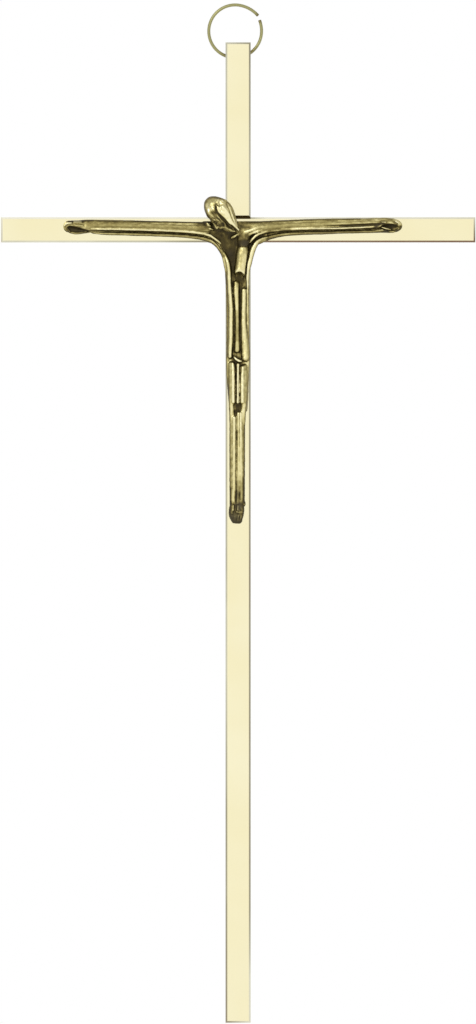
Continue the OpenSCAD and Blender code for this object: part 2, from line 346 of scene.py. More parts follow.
class Casting:
    """Distances to the metal's surface, negative inside it, on a grid of cells."""

    def __init__(self, low, high):
        self.low = np.array(low, float)
        shape = np.ceil((np.array(high) - self.low) / CELL).astype(int) + 1
        self.value = np.full(shape, FAR, np.float32)

    def window(self, low, high):
        first = np.maximum(np.floor((low - self.low) / CELL).astype(int), 0)
        last = np.minimum(np.ceil((high - self.low) / CELL).astype(int) + 1, self.value.shape)
        where = tuple(slice(a, b) for a, b in zip(first, last))
        axes = [self.low[i] + CELL * np.arange(first[i], last[i]) for i in range(3)]
        return where, np.ix_(*axes)

    def run(self, rows, standing):
        """Where a run lies in the grid, and the distances to it there."""
        rows = smooth_rows(rows)
        size = np.stack([rows[:, 3], rows[:, 3], rows[:, 4]], axis=1) + REACH
        lows = rows[:, :3] - size
        highs = rows[:, :3] + size
        if standing:
            lows[:, 2] = self.low[2]
        where, grid = self.window(lows.min(0), highs.max(0))
        block = np.full(np.broadcast_shapes(*[axis.shape for axis in grid]), FAR, np.float32)
        for i in range(len(rows) - 1):
            part, near = self.window(lows[i:i + 2].min(0), highs[i:i + 2].max(0))
            inner = tuple(slice(p.start - w.start, p.stop - w.start) for p, w in zip(part, where))
            distance = run_distance(near, rows[i], rows[i + 1], standing)
            block[inner] = np.minimum(block[inner], distance)
        return where, block

    def join(self, where, block, radius):
        """Joins a block of distances to the metal, with a soft edge."""
        held = self.value[where]
        overlap = np.maximum(radius - np.abs(held - block), 0) / radius
        self.value[where] = np.minimum(held, block) - overlap ** 2 * radius / 4

    def carve(self, kind, radius, rows):
        """Joins a standing or a round run to the metal or cuts one away, with a soft edge."""
        where, block = self.run(rows, kind == STANDING)
        if kind == CUT:
            held = self.value[where]
            overlap = np.maximum(radius - np.abs(held + block), 0) / radius
            self.value[where] = np.maximum(held, -block) + overlap ** 2 * radius / 4
        else:
            self.join(where, block, radius)

    def lay_floor(self, rows):
        """A flat sheet on the bars, between a left and a right edge that change with height."""
        rows = np.array(rows[::-1], float)
        low = np.array([rows[:, 1].min() - REACH, rows[:, 0].min(), self.low[2]])
        high = np.array([rows[:, 2].max() + REACH, rows[:, 0].max(), rows[:, 3].max() + REACH])
        where, (across, up, out) = self.window(low, high)
        left = np.interp(up, rows[:, 0], rows[:, 1])
        right = np.interp(up, rows[:, 0], rows[:, 2])
        top = np.interp(up, rows[:, 0], rows[:, 3])
        block = np.maximum(np.maximum(left - across, across - right), out - top)
        self.join(where, block.astype(np.float32), FLOOR_EDGE)

    def sample(self, points):
        """Distances at any points, blended between the grid's values."""
        place = (points - self.low) / CELL
        limit = np.array(self.value.shape) - 2
        corner = np.clip(np.floor(place).astype(int), 0, limit)
        share = np.clip(place - corner, 0, 1)
        total = np.zeros(len(points))
        for dx in (0, 1):
            for dy in (0, 1):
                for dz in (0, 1):
                    weight = np.ones(len(points))
                    for axis, step in enumerate((dx, dy, dz)):
                        weight *= share[:, axis] if step else 1 - share[:, axis]
                    held = self.value[corner[:, 0] + dx, corner[:, 1] + dy, corner[:, 2] + dz]
                    total += weight * held
        return total

    def normals(self, points):
        slopes = []
        for axis in range(3):
            step = np.zeros(3)
            step[axis] = CELL
            slopes.append(self.sample(points + step) - self.sample(points - step))
        slopes = np.stack(slopes, axis=1)
        return slopes / np.maximum(np.linalg.norm(slopes, axis=1, keepdims=True), TINY)

    def close_corners(self):
        """Fills corners where the metal would touch itself along an edge only."""
        for _ in range(CORNER_ROUNDS):
            filled = 0
            for axes in ((0, 1), (0, 2), (1, 2)):
                view = np.moveaxis(self.value, axes, (0, 1))
                near, far = slice(0, -1), slice(1, None)
                for a, b, c, d in (
                    (view[near, near], view[far, far], view[far, near], view[near, far]),
                    (view[far, near], view[near, far], view[near, near], view[far, far]),
                ):
                    touching = (a < 0) & (b < 0) & (c >= 0) & (d >= 0)
                    c[touching] = CORNER_FILL
                    filled += np.count_nonzero(touching)
            if not filled:
                break

    def surface(self):
        """The surface as points, one in each cell that it crosses, and four sided faces."""
        inside = self.value < 0
        corners = [(x, y, z) for x in (0, 1) for y in (0, 1) for z in (0, 1)]
        shape = [n - 1 for n in inside.shape]
        count = np.zeros(shape, np.uint8)
        for x, y, z in corners:
            count += inside[x:x + shape[0], y:y + shape[1], z:z + shape[2]]
        crossed = (count > 0) & (count < 8)
        cells = np.argwhere(crossed)
        number = np.full(shape, -1, np.int32)
        number[crossed] = np.arange(len(cells))
        held = np.stack([self.value[tuple((cells + corner).T)] for corner in corners], axis=1)
        place = np.zeros((len(cells), 3))
        crossings = np.zeros(len(cells))
        for a in range(8):
            for axis in range(3):
                b = a | (4 >> axis)
                if b == a:
                    continue
                change = (held[:, a] < 0) != (held[:, b] < 0)
                gap = np.where(change, held[:, a] - held[:, b], 1)
                share = held[:, a] / gap
                spot = np.tile(np.array(corners[a], float), (len(cells), 1))
                spot[:, axis] += share
                place += spot * change[:, None]
                crossings += change
        points = self.low + CELL * (cells + place / crossings[:, None])
        faces = []
        for axis in range(3):
            u, v = [i for i in range(3) if i != axis]
            near = np.take(inside, range(shape[axis]), axis)
            far = np.take(inside, range(1, shape[axis] + 1), axis)
            edges = np.argwhere(near != far)
            edges = edges[(edges[:, u] > 0) & (edges[:, v] > 0)]
            edges = edges[(edges[:, u] < shape[u]) & (edges[:, v] < shape[v])]
            ring = []
            for du, dv in ((1, 1), (0, 1), (0, 0), (1, 0)):
                cell = edges.copy()
                cell[:, u] -= du
                cell[:, v] -= dv
                ring.append(number[tuple(cell.T)])
            ring = np.stack(ring, axis=1)
            outward = near[tuple(edges.T)]
            if axis == 1:
                outward = ~outward
            faces.append(np.where(outward[:, None], ring, ring[:, ::-1]))
        return points, np.vstack(faces)


# The floor of the trunk between its ridges: up, left edge, right edge, out
FLOOR = [
    (2, -9, 7.5, 0.9), (-1.4, -8.6, 7.4, 0.8), (-2.4, -7.2, 6.4, 0.75), (-3.3, -6.1, 5.2, 0.72),
    (-4.1, -5.4, 4.7, 0.72), (-5.6, -4.2, 3.9, 0.74), (-7.9, -3.5, 3.3, 0.8), (-11, -2.9, 2.6, 0.9),
    (-15, -2.4, 2.3, 1), (-17.5, -2.3, 2.3, 1.08), (-22, -2.1, 2.3, 1.12), (-29, -2.2, 2.2, 1.12),
    (-30.5, -2.2, 2.2, 1.1), (-33, -2.2, 2.2, 1.1), (-35, -2, 1.9, 1.15), (-43, -1.9, 1.8, 1.25),
    (-46, -1.9, 1.7, 1.3), (-50, -1.8, 1.5, 1.2), (-60, -1.8, 1.5, 1.05), (-71, -1.8, 1.4, 0.9),
]

# The runs, as rows of across, up, out, half width and rise, without what is the same as in the row before
SHOULDERS = [
    (-9.5, 0.35, 0.4, 1.35, 1), (-7.5, 0.4, 0.3, 1.5, 0.75), (-4.5, 0.4, 0.3, 1.6),
    (-1, 0.3, 0.3, 1.6, 0.8), (1.5, 0.4, 0.5, 1.6, 1), (4, 0.5, 0.6, 1.5, 1.15), (8, 0.55, 0.6, 1.4),
]
LEFT_BASE = [
    (-37, -0.5, 0.2, 0.5, 0.25), (-20, -0.85, 0.2, 0.55), (-12, -1.2, 0.2, 0.6, 0.3),
    (-7, -2.2, 0.3, 0.7),
]
RIGHT_BASE = [
    (37, 0, 0.2, 0.5, 0.25), (20, -0.4, 0.2, 0.55), (12, -0.75, 0.2, 0.6, 0.3), (6, -1.7, 0.3, 0.8),
]
LEFT_ARM = [
    (-8, 0.32, 0.6, 1.38, 1.15), (-12.3, 0.32, 0.6, 1.3, 1), (-20, 0.58, 0.6, 1.3, 0.95), (-30, 0.84),
    (-36, 0.86, 0.55, 1.36, 0.98), (-39, 0.7, 0.5, 1.6, 1.05), (-41.5, 0.6, 0.5, 1.76),
    (-43.05, 0.82, 0.45, 1.5, 0.95),
]
LEFT_SKIRT = [
    (-7, 1.35, 0.5, 0.6, 0.7), (-12.3, 1.43, 0.5, 0.59), (-20, 1.62, 0.5, 0.58), (-30, 1.87),
    (-38, 1.97), (-40.5, 1.75, 0.45, 0.6, 0.65),
]
RIGHT_ARM = [
    (7.7, 0.5, 0.6, 1.4, 1.15), (12, 0.8, 0.6, 1.28, 1), (15.8, 1, 0.6, 1.26, 0.95), (20.9, 1.18),
    (26, 1.28, 0.55, 1.24, 0.98), (31, 1.34, 0.5, 1.25, 1.05), (34.5, 1.38, 0.5, 1.32),
    (37, 1.15, 0.5, 1.7), (39.3, 1.05, 0.5, 1.82), (40.5, 1, 0.45, 1.35, 0.95),
    (41, 0.95, 0.4, 0.75, 0.8),
]
RIGHT_SKIRT = [
    (6.5, 1.6, 0.5, 0.6, 0.7), (12, 1.87, 0.5, 0.58), (20.9, 2.21), (31, 2.32), (37.5, 2.42),
    (39, 2.15, 0.45, 0.6, 0.65),
]
LEFT_BAND = [
    (-36.8, -0.85, 0.3, 0.15, 0.3), (-34, -0.98, 0.4, 0.32, 0.35), (-30, -1.03, 0.4, 0.4, 0.4),
    (-20, -1.28, 0.4, 0.46), (-14.8, -1.48, 0.4, 0.48), (-12.3, -1.68, 0.4, 0.5),
    (-9.6, -2.05, 0.45, 0.52, 0.45), (-7.9, -2.5, 0.5, 0.55, 0.5), (-6.5, -3.05, 0.6),
    (-5.5, -3.85, 0.7), (-4.8, -4.65, 0.8), (-4.22, -5.55, 0.85), (-3.84, -6.4, 0.85, 0.5),
    (-3.6, -7.2, 0.85, 0.47), (-3.3, -8.7, 0.85, 0.43), (-3.02, -10.3, 0.8, 0.4),
    (-2.8, -12.3, 0.7, 0.3, 0.45),
]
RIGHT_BAND = [
    (38.6, -0.38, 0.4, 0.34, 0.35), (35, -0.4, 0.4, 0.38, 0.4), (26, -0.58, 0.4, 0.42),
    (20.9, -0.76, 0.4, 0.45), (15.8, -0.89, 0.4, 0.46), (12, -1.16, 0.4, 0.5),
    (9.4, -1.6, 0.45, 0.52, 0.45), (7.6, -2.12, 0.5, 0.56, 0.5), (6.4, -2.6, 0.6, 0.6),
    (5.5, -3.1, 0.8),
]
# The long ridge from the left hand down the left side to the hip
LEFT_RIDGE = [
    (-37.5, 0.1, 1.1, 0.2, 0.45), (-30, 0.02, 1.15, 0.22, 0.5), (-20, -0.25, 1.15, 0.26),
    (-14.8, -0.45, 1.15, 0.3), (-12.3, -0.66, 1.1, 0.34), (-9.7, -0.92, 1.05, 0.38),
    (-8.4, -1.12, 1.05, 0.42), (-7.1, -1.52, 1.05, 0.44), (-6, -2.22, 1, 0.42, 0.45),
    (-5.2, -2.85, 0.9, 0.36, 0.4), (-4.5, -3.5, 0.7, 0.3, 0.35),
]
LEFT_SIDE = [
    (-3.6, -5.9, 0.7, 0.32, 0.5), (-3.2, -6.9, 1, 0.48, 0.7), (-2.75, -8, 1.15, 0.54, 0.85),
    (-2.5, -9, 1.15, 0.6, 0.95), (-2.36, -10, 1.15, 0.62), (-2.28, -11), (-2.28, -12.2),
    (-2.25, -13.5), (-2.15, -15), (-1.95, -17.5, 1.15, 0.66), (-1.8, -20.5, 1.15, 0.68),
    (-1.82, -24, 1.15, 0.7), (-1.88, -28, 1.15, 0.68, 0.97), (-2.02, -30.5, 1.15, 0.62, 1),
    (-2.04, -32.3, 1.2, 0.6),
]
LEFT_FLANK = [
    (-2.95, -11.5, 0.4, 0.35, 0.5), (-2.75, -14, 0.5, 0.45), (-2.55, -17, 0.55, 0.5, 0.55),
    (-2.45, -22, 0.6, 0.55, 0.6), (-2.45, -28), (-2.55, -32.5, 0.6, 0.5), (-2.5, -36, 0.55, 0.5, 0.5),
    (-2.35, -39, 0.5, 0.48), (-1.95, -43.5, 0.45, 0.45, 0.45),
]
RIGHT_FLANK = [
    (2.55, -14.5, 0.5, 0.35, 0.5), (2.4, -17, 0.65, 0.4, 0.6), (2.35, -22, 0.7, 0.45), (2.45, -28),
    (2.55, -33), (2.35, -35, 0.6, 0.45, 0.5), (2.2, -42, 0.55, 0.4, 0.45), (2, -46, 0.5, 0.35, 0.4),
]
# The ridge from the right hand that ends at the breast
RIGHT_RIDGE = [
    (36.4, 0.9, 1.1, 0.22, 0.4), (35, 0.72, 1.1, 0.25, 0.45), (31, 0.52, 1.15, 0.27, 0.5),
    (26, 0.32, 1.15, 0.28), (20.9, 0.26, 1.15, 0.3), (15.8, 0.18, 1.1, 0.32), (12, 0, 1.05, 0.36),
    (9.4, -0.25, 1.1, 0.38), (7.6, -0.45, 1.15, 0.4, 0.55), (6.2, -0.8, 1.25, 0.4, 0.6),
    (5.2, -1.15, 1.4, 0.42, 0.7), (4.3, -1.75, 1.45), (3.5, -2.6, 1.4, 0.38, 0.65),
    (3, -3.3, 1.2, 0.3, 0.6),
]
RIGHT_SIDE = [
    (7.4, -1.95, 0.6, 0.3, 0.5), (6, -2.35, 0.85, 0.42, 0.6), (4.95, -3.05, 1.1, 0.58, 0.7),
    (4.3, -3.95, 1.2, 0.68, 0.85), (3.8, -4.95, 1.2, 0.72, 0.9), (3.46, -6, 1.2, 0.72, 0.92),
    (3.18, -7, 1.2, 0.68, 0.9), (2.98, -8, 1.2, 0.66), (2.74, -9, 1.2, 0.62),
    (2.54, -10, 1.2, 0.58, 0.88), (2.42, -11, 1.2, 0.54, 0.86), (2.4, -12.5, 1.15, 0.46, 0.78),
    (2.42, -14.5, 1, 0.36, 0.7), (2.42, -18, 0.95, 0.3, 0.5), (2.5, -24, 0.9, 0.28),
]
RIGHT_FOLD = [
    (1.5, -15.5, 1.2, 0.7, 0.95), (1.48, -18, 1.2, 0.74), (1.38, -22), (1.5, -25.5, 1.15, 0.84, 1),
    (1.75, -29, 1.15, 1.02, 1.02), (1.9, -31.5, 1.2, 1.1, 1.06), (1.88, -32.6, 1.25, 1.06, 1.1),
]
COLLAR = [
    (6.4, 0.75, 1.35, 0.26, 0.4), (4.6, 0.32, 1.45, 0.42, 0.5), (3.6, -0.05, 1.45, 0.5, 0.55),
    (2.5, -0.45, 1.4), (1.5, -0.78, 1.25, 0.42, 0.5),
]
COLLAR_LOW = [
    (6.6, -0.02, 1.2, 0.24, 0.4), (4.9, -0.55, 1.3, 0.34, 0.5), (3.2, -1.15, 1.2, 0.38),
    (1.8, -1.75, 1, 0.36, 0.45),
]
COLLAR_LEFT = [(-0.2, -1.2, 1.15, 0.42, 0.5), (-0.9, -1.65, 1.05, 0.45), (-1.6, -2.05, 0.9, 0.34, 0.4)]
SHOULDER_FOLDS = [
    [(-8.1, 1.75, 1.15, 0.26, 0.4), (-7.55, 1.35, 1.36, 0.36, 0.42), (-7, 0.9, 1.15, 0.26, 0.4)],
    [(-7.7, 0.6, 1.15, 0.24, 0.35), (-7.05, 0.3, 1.36, 0.34, 0.4), (-6.4, 0, 1.15, 0.24, 0.35)],
]
NECK = [(-2.6, 1.2, 0.8, 1, 1.2), (-1, 0.4, 0.8, 0.9, 1), (0.4, -0.2, 0.8, 1.2, 0.8)]
BREAST = [(1.5, -1.2, 0.9, 1.7, 0.85), (1.45, -2.6, 1, 1.6, 0.9), (1.3, -3.6, 0.95, 1.4, 0.75)]
BELLY = [
    (1.25, -5.1, 1.1, 1.45, 1.1), (1.15, -6.3, 1.2, 1.6, 1.15), (1, -8.2, 1.3, 1.66),
    (0.75, -9.8, 1.4, 1.62), (0.55, -10.65, 1.45, 1.52, 1.1),
]
BREAST_LINE = [(-0.3, -4.3, 2.1, 0.14, 0.4), (1.2, -4.1, 2.3), (2.6, -4.3, 2.1)]
CLOTH = [
    (-0.5, -13.8, 0.9, 0.9, 0.75), (-0.52, -15.4, 1.1, 0.86, 0.8), (-0.4, -17.5, 1.1, 0.78, 0.82),
    (-0.26, -20.5, 1.1, 0.7), (-0.24, -25.6, 1, 0.72, 0.74), (-0.22, -28, 1, 0.82, 0.76),
    (-0.28, -30.6, 1, 0.86, 0.78),
]
CRESCENT = [
    (-1, -32.45, 1.4, 0.26, 0.6), (-0.45, -33.05, 1.55, 0.4, 0.7), (0.2, -33.4, 1.6, 0.44),
    (0.75, -33.5, 1.45, 0.3, 0.6),
]
LEFT_THIGH = [
    (-1.4, -34.2, 1.2, 0.55, 0.8), (-1.28, -36, 1.3, 0.62, 0.88), (-1.24, -42, 1.45, 0.62, 0.95),
    (-1.2, -43.9, 1.5, 0.6),
]
LEFT_THIGH_SIDE = [
    (-1.85, -34.2, 0.9, 0.6, 0.75), (-1.75, -38, 1, 0.66), (-1.72, -43, 1.1, 0.66, 0.8),
    (-1.6, -46.2, 1.1, 0.7), (-1.45, -48.5, 0.95, 0.7, 0.7),
]
RIGHT_THIGH = [
    (1.2, -35.2, 1.2, 0.64, 0.88), (1.1, -38, 1.35, 0.68, 0.9), (1.08, -42, 1.5, 0.68, 0.95),
    (1.05, -43.9, 1.5, 0.62),
]
RIGHT_THIGH_SIDE = [
    (1.6, -35, 0.9, 0.75, 0.75), (1.6, -38, 1, 0.8, 0.78), (1.5, -43, 1.1, 0.78, 0.8),
    (1.3, -46.2, 1.1, 0.7), (1.1, -48.5, 0.95, 0.65, 0.7),
]
BETWEEN_THIGHS = [(-0.02, -34.4, 1.2, 0.5, 0.8), (-0.05, -38, 1.35, 0.46), (-0.08, -44, 1.5)]
LEFT_SHIN = [
    (-0.98, -48, 1.25, 0.6, 0.85), (-1, -52, 1.2, 0.62, 0.82), (-1.02, -60, 1.05, 0.64, 0.8),
    (-1.02, -66, 1, 0.62, 0.78), (-1.08, -69.3, 0.95, 0.62, 0.72),
]
LEFT_SHIN_SIDE = [
    (-1.45, -48, 0.9, 0.7, 0.75), (-1.5, -52, 0.85, 0.7, 0.72), (-1.52, -60, 0.8, 0.68, 0.7),
    (-1.52, -69.8, 0.7, 0.64),
]
MIDDLE_SHIN = [
    (0.02, -46.8, 1.15, 0.48, 0.65), (0.06, -52, 1.05, 0.5), (0.04, -60, 0.98, 0.52, 0.68),
    (-0.02, -66, 0.95), (-0.05, -69.8, 0.95, 0.5, 0.65),
]
RIGHT_SHIN = [
    (0.68, -46.8, 1.3, 0.48, 0.78), (0.68, -52, 1.2, 0.52, 0.75), (0.7, -60, 1.05, 0.54, 0.72),
    (0.78, -69.6, 0.9, 0.52, 0.7),
]
RIGHT_SHIN_SIDE = [
    (1.15, -48, 0.9, 0.66, 0.72), (1.1, -52, 0.85, 0.66, 0.7), (1.05, -60, 0.8, 0.68, 0.68),
    (0.98, -69.8, 0.75),
]
LEFT_FOOT = [
    (-1.35, -70, 0.8, 0.7, 0.9), (-1.5, -71.4, 0.9, 0.86, 1), (-1.42, -72.8, 0.85, 0.92),
    (-0.85, -73.9, 0.7, 0.9, 0.9),
]
RIGHT_FOOT = [
    (0.62, -69.9, 0.9, 0.92, 0.9), (0.55, -71.2, 1, 1.02, 1.05), (0.45, -72.4),
    (0.1, -73.95, 0.7, 0.95, 0.9),
]
FEET_MIDDLE = [(-0.45, -69.4, 0.9, 0.62, 0.8), (-0.45, -71.8, 0.95, 0.75, 0.85), (-0.4, -74, 0.75, 0.8)]
FEET_END = [(-0.95, -74.1, 0.5, 0.72, 0.8), (0.25, -74.15, 0.5, 0.74)]
TOES = [
    [(0.75, -72.9, 1.5, 0.22, 0.4), (0.6, -74.1, 1.2, 0.2)],
    [(0.1, -73.1, 1.4, 0.24, 0.4), (-0.1, -74.3, 1.1, 0.22)],
    [(-0.75, -73.1, 1.4, 0.26, 0.4), (-0.8, -74.2, 1, 0.22)],
    [(-1.2, -70.3, 1.6, 0.28, 0.4), (-1.3, -71.6, 1.75, 0.3)],
    [(-0.1, -70.3, 1.6, 0.28, 0.4), (-0.15, -71.4, 1.72, 0.28, 0.35)],
    [(-0.55, -71.9, 1.75, 0.2, 0.4), (0.2, -72.05, 1.85, 0.22), (1.05, -71.95, 1.7, 0.2)],
]
ANKLE = [(1.5, -69.6, 0.8, 0.36, 0.6), (1.58, -70.1, 0.8, 0.34)]
FOOT_GROOVES = [
    [(-0.8, -70, 2.1, 0.12, 0.35), (-0.66, -71, 2.15, 0.14), (-0.9, -72.4, 2.15, 0.12, 0.3)],
    [(0.4, -70.6, 2.2, 0.12, 0.3), (0.45, -71.4, 2.2, 0.14), (0.9, -71.5, 2.1, 0.12)],
    [(-2.3, -72.3, 1.7, 0.12, 0.4), (-1.5, -72.7, 2, 0.14, 0.35), (-0.5, -72.5, 2.1, 0.12, 0.3)],
    [(-0.35, -73.2, 1.9, 0.1, 0.3), (-0.45, -74.3, 1.6, 0.1, 0.25)],
    [(0.42, -73.1, 1.9, 0.1, 0.3), (0.3, -74.1, 1.7, 0.1, 0.25)],
]

# What is cut away: hollows and grooves
SIDE_GROOVE = [
    (3.7, -3, 1.95, 0.15, 0.5), (3.3, -3.9, 2, 0.16, 0.65), (2.88, -5, 2, 0.16, 0.8),
    (2.55, -6.6, 2.1, 0.15), (2.25, -8.4), (2.03, -10.2), (1.9, -11.6),
]
ARCH_HOLLOW = [(0.25, -12.3, 3, 1.6, 2.3), (0.7, -13, 3, 1.2, 2.2), (1.2, -14.3, 3, 0.6, 2.1)]
HIP_HOLLOW = [(-0.85, -31.7, 2.6, 0.26, 1.4), (0, -32, 2.6, 0.4, 1.5), (0.75, -32.4, 2.6, 0.32, 1.4)]
UNDER_KNOB = [(0.9, -34.05, 2.7, 0.26, 1.2), (2.5, -34.1, 2.7, 0.3, 1.5)]
LEFT_KNEE = [
    (-0.1, -45, 3.2, 0.3, 1.3), (-0.7, -45.7, 3.2, 0.36, 1.45), (-1.15, -46.8, 3.1, 0.3, 1.35),
    (-1.2, -47.7, 3, 0.2, 1.1),
]
RIGHT_KNEE = [(0.1, -45, 3.2, 0.3, 1.3), (0.6, -45.2, 3.2, 0.32, 1.4), (1, -46.2, 3.1, 0.22, 1.25)]
KNEE_CREASE = [(0.5, -44.6, 3.1, 0.22, 1.1), (1.5, -44.85, 2.9, 0.18, 1)]
SHIN_GROOVE = [
    (-0.42, -58.5, 2, 0.1, 0.3), (-0.42, -62, 1.97, 0.11, 0.4), (-0.42, -66, 1.92, 0.13, 0.48),
    (-0.5, -68.5, 1.9, 0.15, 0.55), (-0.6, -70.2, 1.95, 0.13, 0.45),
]
ANKLE_GROOVE = [(0.38, -65.8, 2.1, 0.12, 0.5), (0.36, -68, 2.1, 0.18, 0.7), (0.35, -69.2, 2.05, 0.12, 0.5)]
LEFT_DARK = [
    (-38.3, -0.45, 1.25, 0.16, 0.7), (-30, -0.55, 1.25, 0.2, 0.85), (-20, -0.78), (-14.8, -1),
    (-12.3, -1.16), (-9.7, -1.45, 1.3), (-8.2, -1.8, 1.35, 0.2, 0.8), (-7, -2.22, 1.4, 0.2, 0.75),
    (-6, -2.9, 1.45, 0.2, 0.7), (-5.1, -3.75, 1.5, 0.2, 0.65), (-4.4, -4.8, 1.6, 0.18, 0.55),
]
RIGHT_DARK = [
    (37.4, 0.2, 1.25, 0.14, 0.6), (31, 0.04, 1.25, 0.2, 0.85), (26, -0.14), (20.9, -0.26),
    (15.8, -0.38), (12, -0.6), (9.4, -0.85, 1.3, 0.22, 0.75), (7.7, -1.15, 1.4, 0.22, 0.62),
    (6.4, -1.5, 1.6, 0.2, 0.56), (5.2, -2.1, 1.8, 0.18, 0.48), (4.4, -2.7, 1.95, 0.16),
    (3.8, -3.3, 2, 0.15),
]
LEFT_LINE = [(-37, 0.75, 1.75, 0.22, 0.2), (-24, 0.5, 1.75, 0.26), (-13, 0.3, 1.8)]
RIGHT_LINE = [
    (36, 1.4, 1.8, 0.3, 0.55), (31, 1.1, 1.75, 0.34), (26, 0.95, 1.75, 0.3, 0.5),
    (18, 0.72, 1.78, 0.26, 0.3), (11, 0.55, 1.8, 0.2, 0.2),
]
LEFT_PALM = [
    (-43.5, 0.05, 2, 0.5, 1.2), (-42.85, 0.08, 2, 1.02, 1.5), (-41.5, -0.12, 2, 0.9),
    (-40.2, -0.25, 2, 0.72, 1.4), (-39, -0.35, 2, 0.42, 1.25), (-38, -0.45, 1.8, 0.25, 0.95),
]
RIGHT_PALM = [
    (40.6, 0.45, 2, 0.62, 1.2), (39.8, 0.4, 2, 1.02, 1.5), (38.6, 0.45, 2, 1.12),
    (37.5, 0.55, 2, 0.9, 1.4), (36.5, 0.5, 1.9, 0.4, 1.1), (35.5, 0.1, 1.8, 0.22, 0.9),
]
LEFT_CUFF = [(-39.2, 0.6, 1.9, 0.12, 0.4), (-39.15, 1.9, 1.85)]

# The thumbs and the fingers
LEFT_THUMB = [(-43.55, 0.35, 0.75, 0.17, 0.35), (-42.85, -0.6, 0.75, 0.18)]
LEFT_HAND = [
    [(-44.3, 1, 1.1, 0.2, 0.45), (-43.6, 1.6, 1.4, 0.24, 0.5), (-42.4, 1.7, 1.4, 0.2, 0.45)],
    [(-41.9, 1.95, 1.25, 0.16, 0.4), (-39.9, 1.95, 1.3)],
    [(-42, 1.5, 1.1, 0.32, 0.35), (-39.6, 1.48, 1.15)],
    [(-41.6, 1.1, 1.3, 0.14, 0.35), (-39.4, 1, 1.35, 0.16)],
]
RIGHT_THUMB = [(36.7, 0.6, 0.9, 0.18, 0.4), (37.4, 0.35, 0.95, 0.24, 0.45), (38.9, 0.02, 0.9, 0.2, 0.35)]
RIGHT_HAND = [
    [(41.2, 1, 1, 0.18, 0.45), (40.8, 1.75, 1.3, 0.22, 0.5), (40.1, 2.1, 1.35, 0.2, 0.45)],
    [(36.6, 1.95, 1.4, 0.2, 0.4), (37.6, 1.85)],
]

# The figure in the order of its carving: how its runs are taken, how soft their edges are
CARVING = [
    (STANDING, 0.4, [LEFT_BASE, RIGHT_BASE, SHOULDERS, LEFT_ARM, RIGHT_ARM, NECK, BREAST]),
    (STANDING, 0.5, [BELLY]),
    (STANDING, 0.2, [LEFT_BAND, RIGHT_BAND, LEFT_SKIRT, RIGHT_SKIRT, COLLAR_LEFT]),
    (CUT, 0.2, [LEFT_LINE, RIGHT_LINE]),
    (STANDING, 0.3, [LEFT_FLANK, RIGHT_FLANK, LEFT_SIDE, RIGHT_SIDE, CLOTH]),
    (STANDING, 0.2, SHOULDER_FOLDS),
    (STANDING, 0.4, [COLLAR, COLLAR_LOW]),
    (STANDING, 0.15, [LEFT_RIDGE, RIGHT_RIDGE]),
    (CUT, 0.12, [LEFT_DARK, RIGHT_DARK, SIDE_GROOVE]),
    (CUT, 0.2, [BREAST_LINE]),
    (CUT, 0.1, [ARCH_HOLLOW]),
    (STANDING, 0.25, [RIGHT_FOLD]),
    (CUT, 0.15, [HIP_HOLLOW]),
    (CUT, 0.1, [UNDER_KNOB]),
    (STANDING, 0.35, [LEFT_THIGH_SIDE, RIGHT_THIGH_SIDE, LEFT_SHIN_SIDE, RIGHT_SHIN_SIDE]),
    (STANDING, 0.3, [LEFT_THIGH, RIGHT_THIGH, BETWEEN_THIGHS, LEFT_SHIN, MIDDLE_SHIN, RIGHT_SHIN]),
    (STANDING, 0.2, [CRESCENT]),
    (STANDING, 0.25, [LEFT_FOOT, RIGHT_FOOT, FEET_MIDDLE, FEET_END, ANKLE]),
    (ROUND, 0.15, TOES),
    (CUT, 0.15, [LEFT_KNEE, RIGHT_KNEE, KNEE_CREASE, SHIN_GROOVE, ANKLE_GROOVE, *FOOT_GROOVES]),
    (STANDING, 0.15, [*LEFT_HAND, *RIGHT_HAND]),
    (CUT, 0.15, [LEFT_PALM, RIGHT_PALM, LEFT_CUFF]),
    (ROUND, 0.1, [LEFT_THUMB, RIGHT_THUMB]),
]

# The head's top and lean, and its egg as rows of distance down from the top, radius and middle's place out
HEAD_TOP = np.array([-7.37, 7.1, 0])
HEAD_LEAN = math.radians(46)
HEAD_DOWN = np.array([math.sin(HEAD_LEAN), -math.cos(HEAD_LEAN), 0])
HEAD_ASIDE = np.array([math.cos(HEAD_LEAN), math.sin(HEAD_LEAN), 0])
HEAD_OUT = np.array([0, 0, 1.0])
EGG = [
    (0, 0, 2.5), (0.5, 1.3, 2.5), (1.2, 2.2, 2.5), (2.2, 2.85, 2.5), (3.6, 3.1, 2.5), (5, 2.8, 2.55),
    (6.3, 2.25, 2.7), (8, 1.4, 3.05), (9.4, 0.7, 3.35), (10.2, 0.25, 3.45),
]
EGG_ROWS = np.array(EGG)


def egg(down):
    """The egg's radius at a distance down from the head's top, and how far out its middle is."""
    return [np.interp(down, EGG_ROWS[:, 0], EGG_ROWS[:, column]) for column in (1, 2)]


def on_head(down, turn, lift):
    """A point near the head's surface: turn 0 faces the viewer and -90 is the face's side."""
    radius, middle = egg(down)
    radius = radius + lift
    angle = math.radians(turn)
    return (
        HEAD_TOP + HEAD_DOWN * down + HEAD_OUT * (middle + radius * math.cos(angle))
        + HEAD_ASIDE * radius * math.sin(angle)
    )


def round_head(points):
    """How far down from the head's top, round it in degrees and out from its middle line."""
    local = points - HEAD_TOP
    down = local @ HEAD_DOWN
    aside = local @ HEAD_ASIDE
    out = points[:, 2] - egg(down)[1]
    return down, np.degrees(np.arctan2(aside, out)), np.hypot(aside, out)


def head_run(stations):
    """A run over the head, from rows of down, turn, lift and radius."""
    return [(*on_head(down, turn, lift), size, size) for down, turn, lift, size in stations]


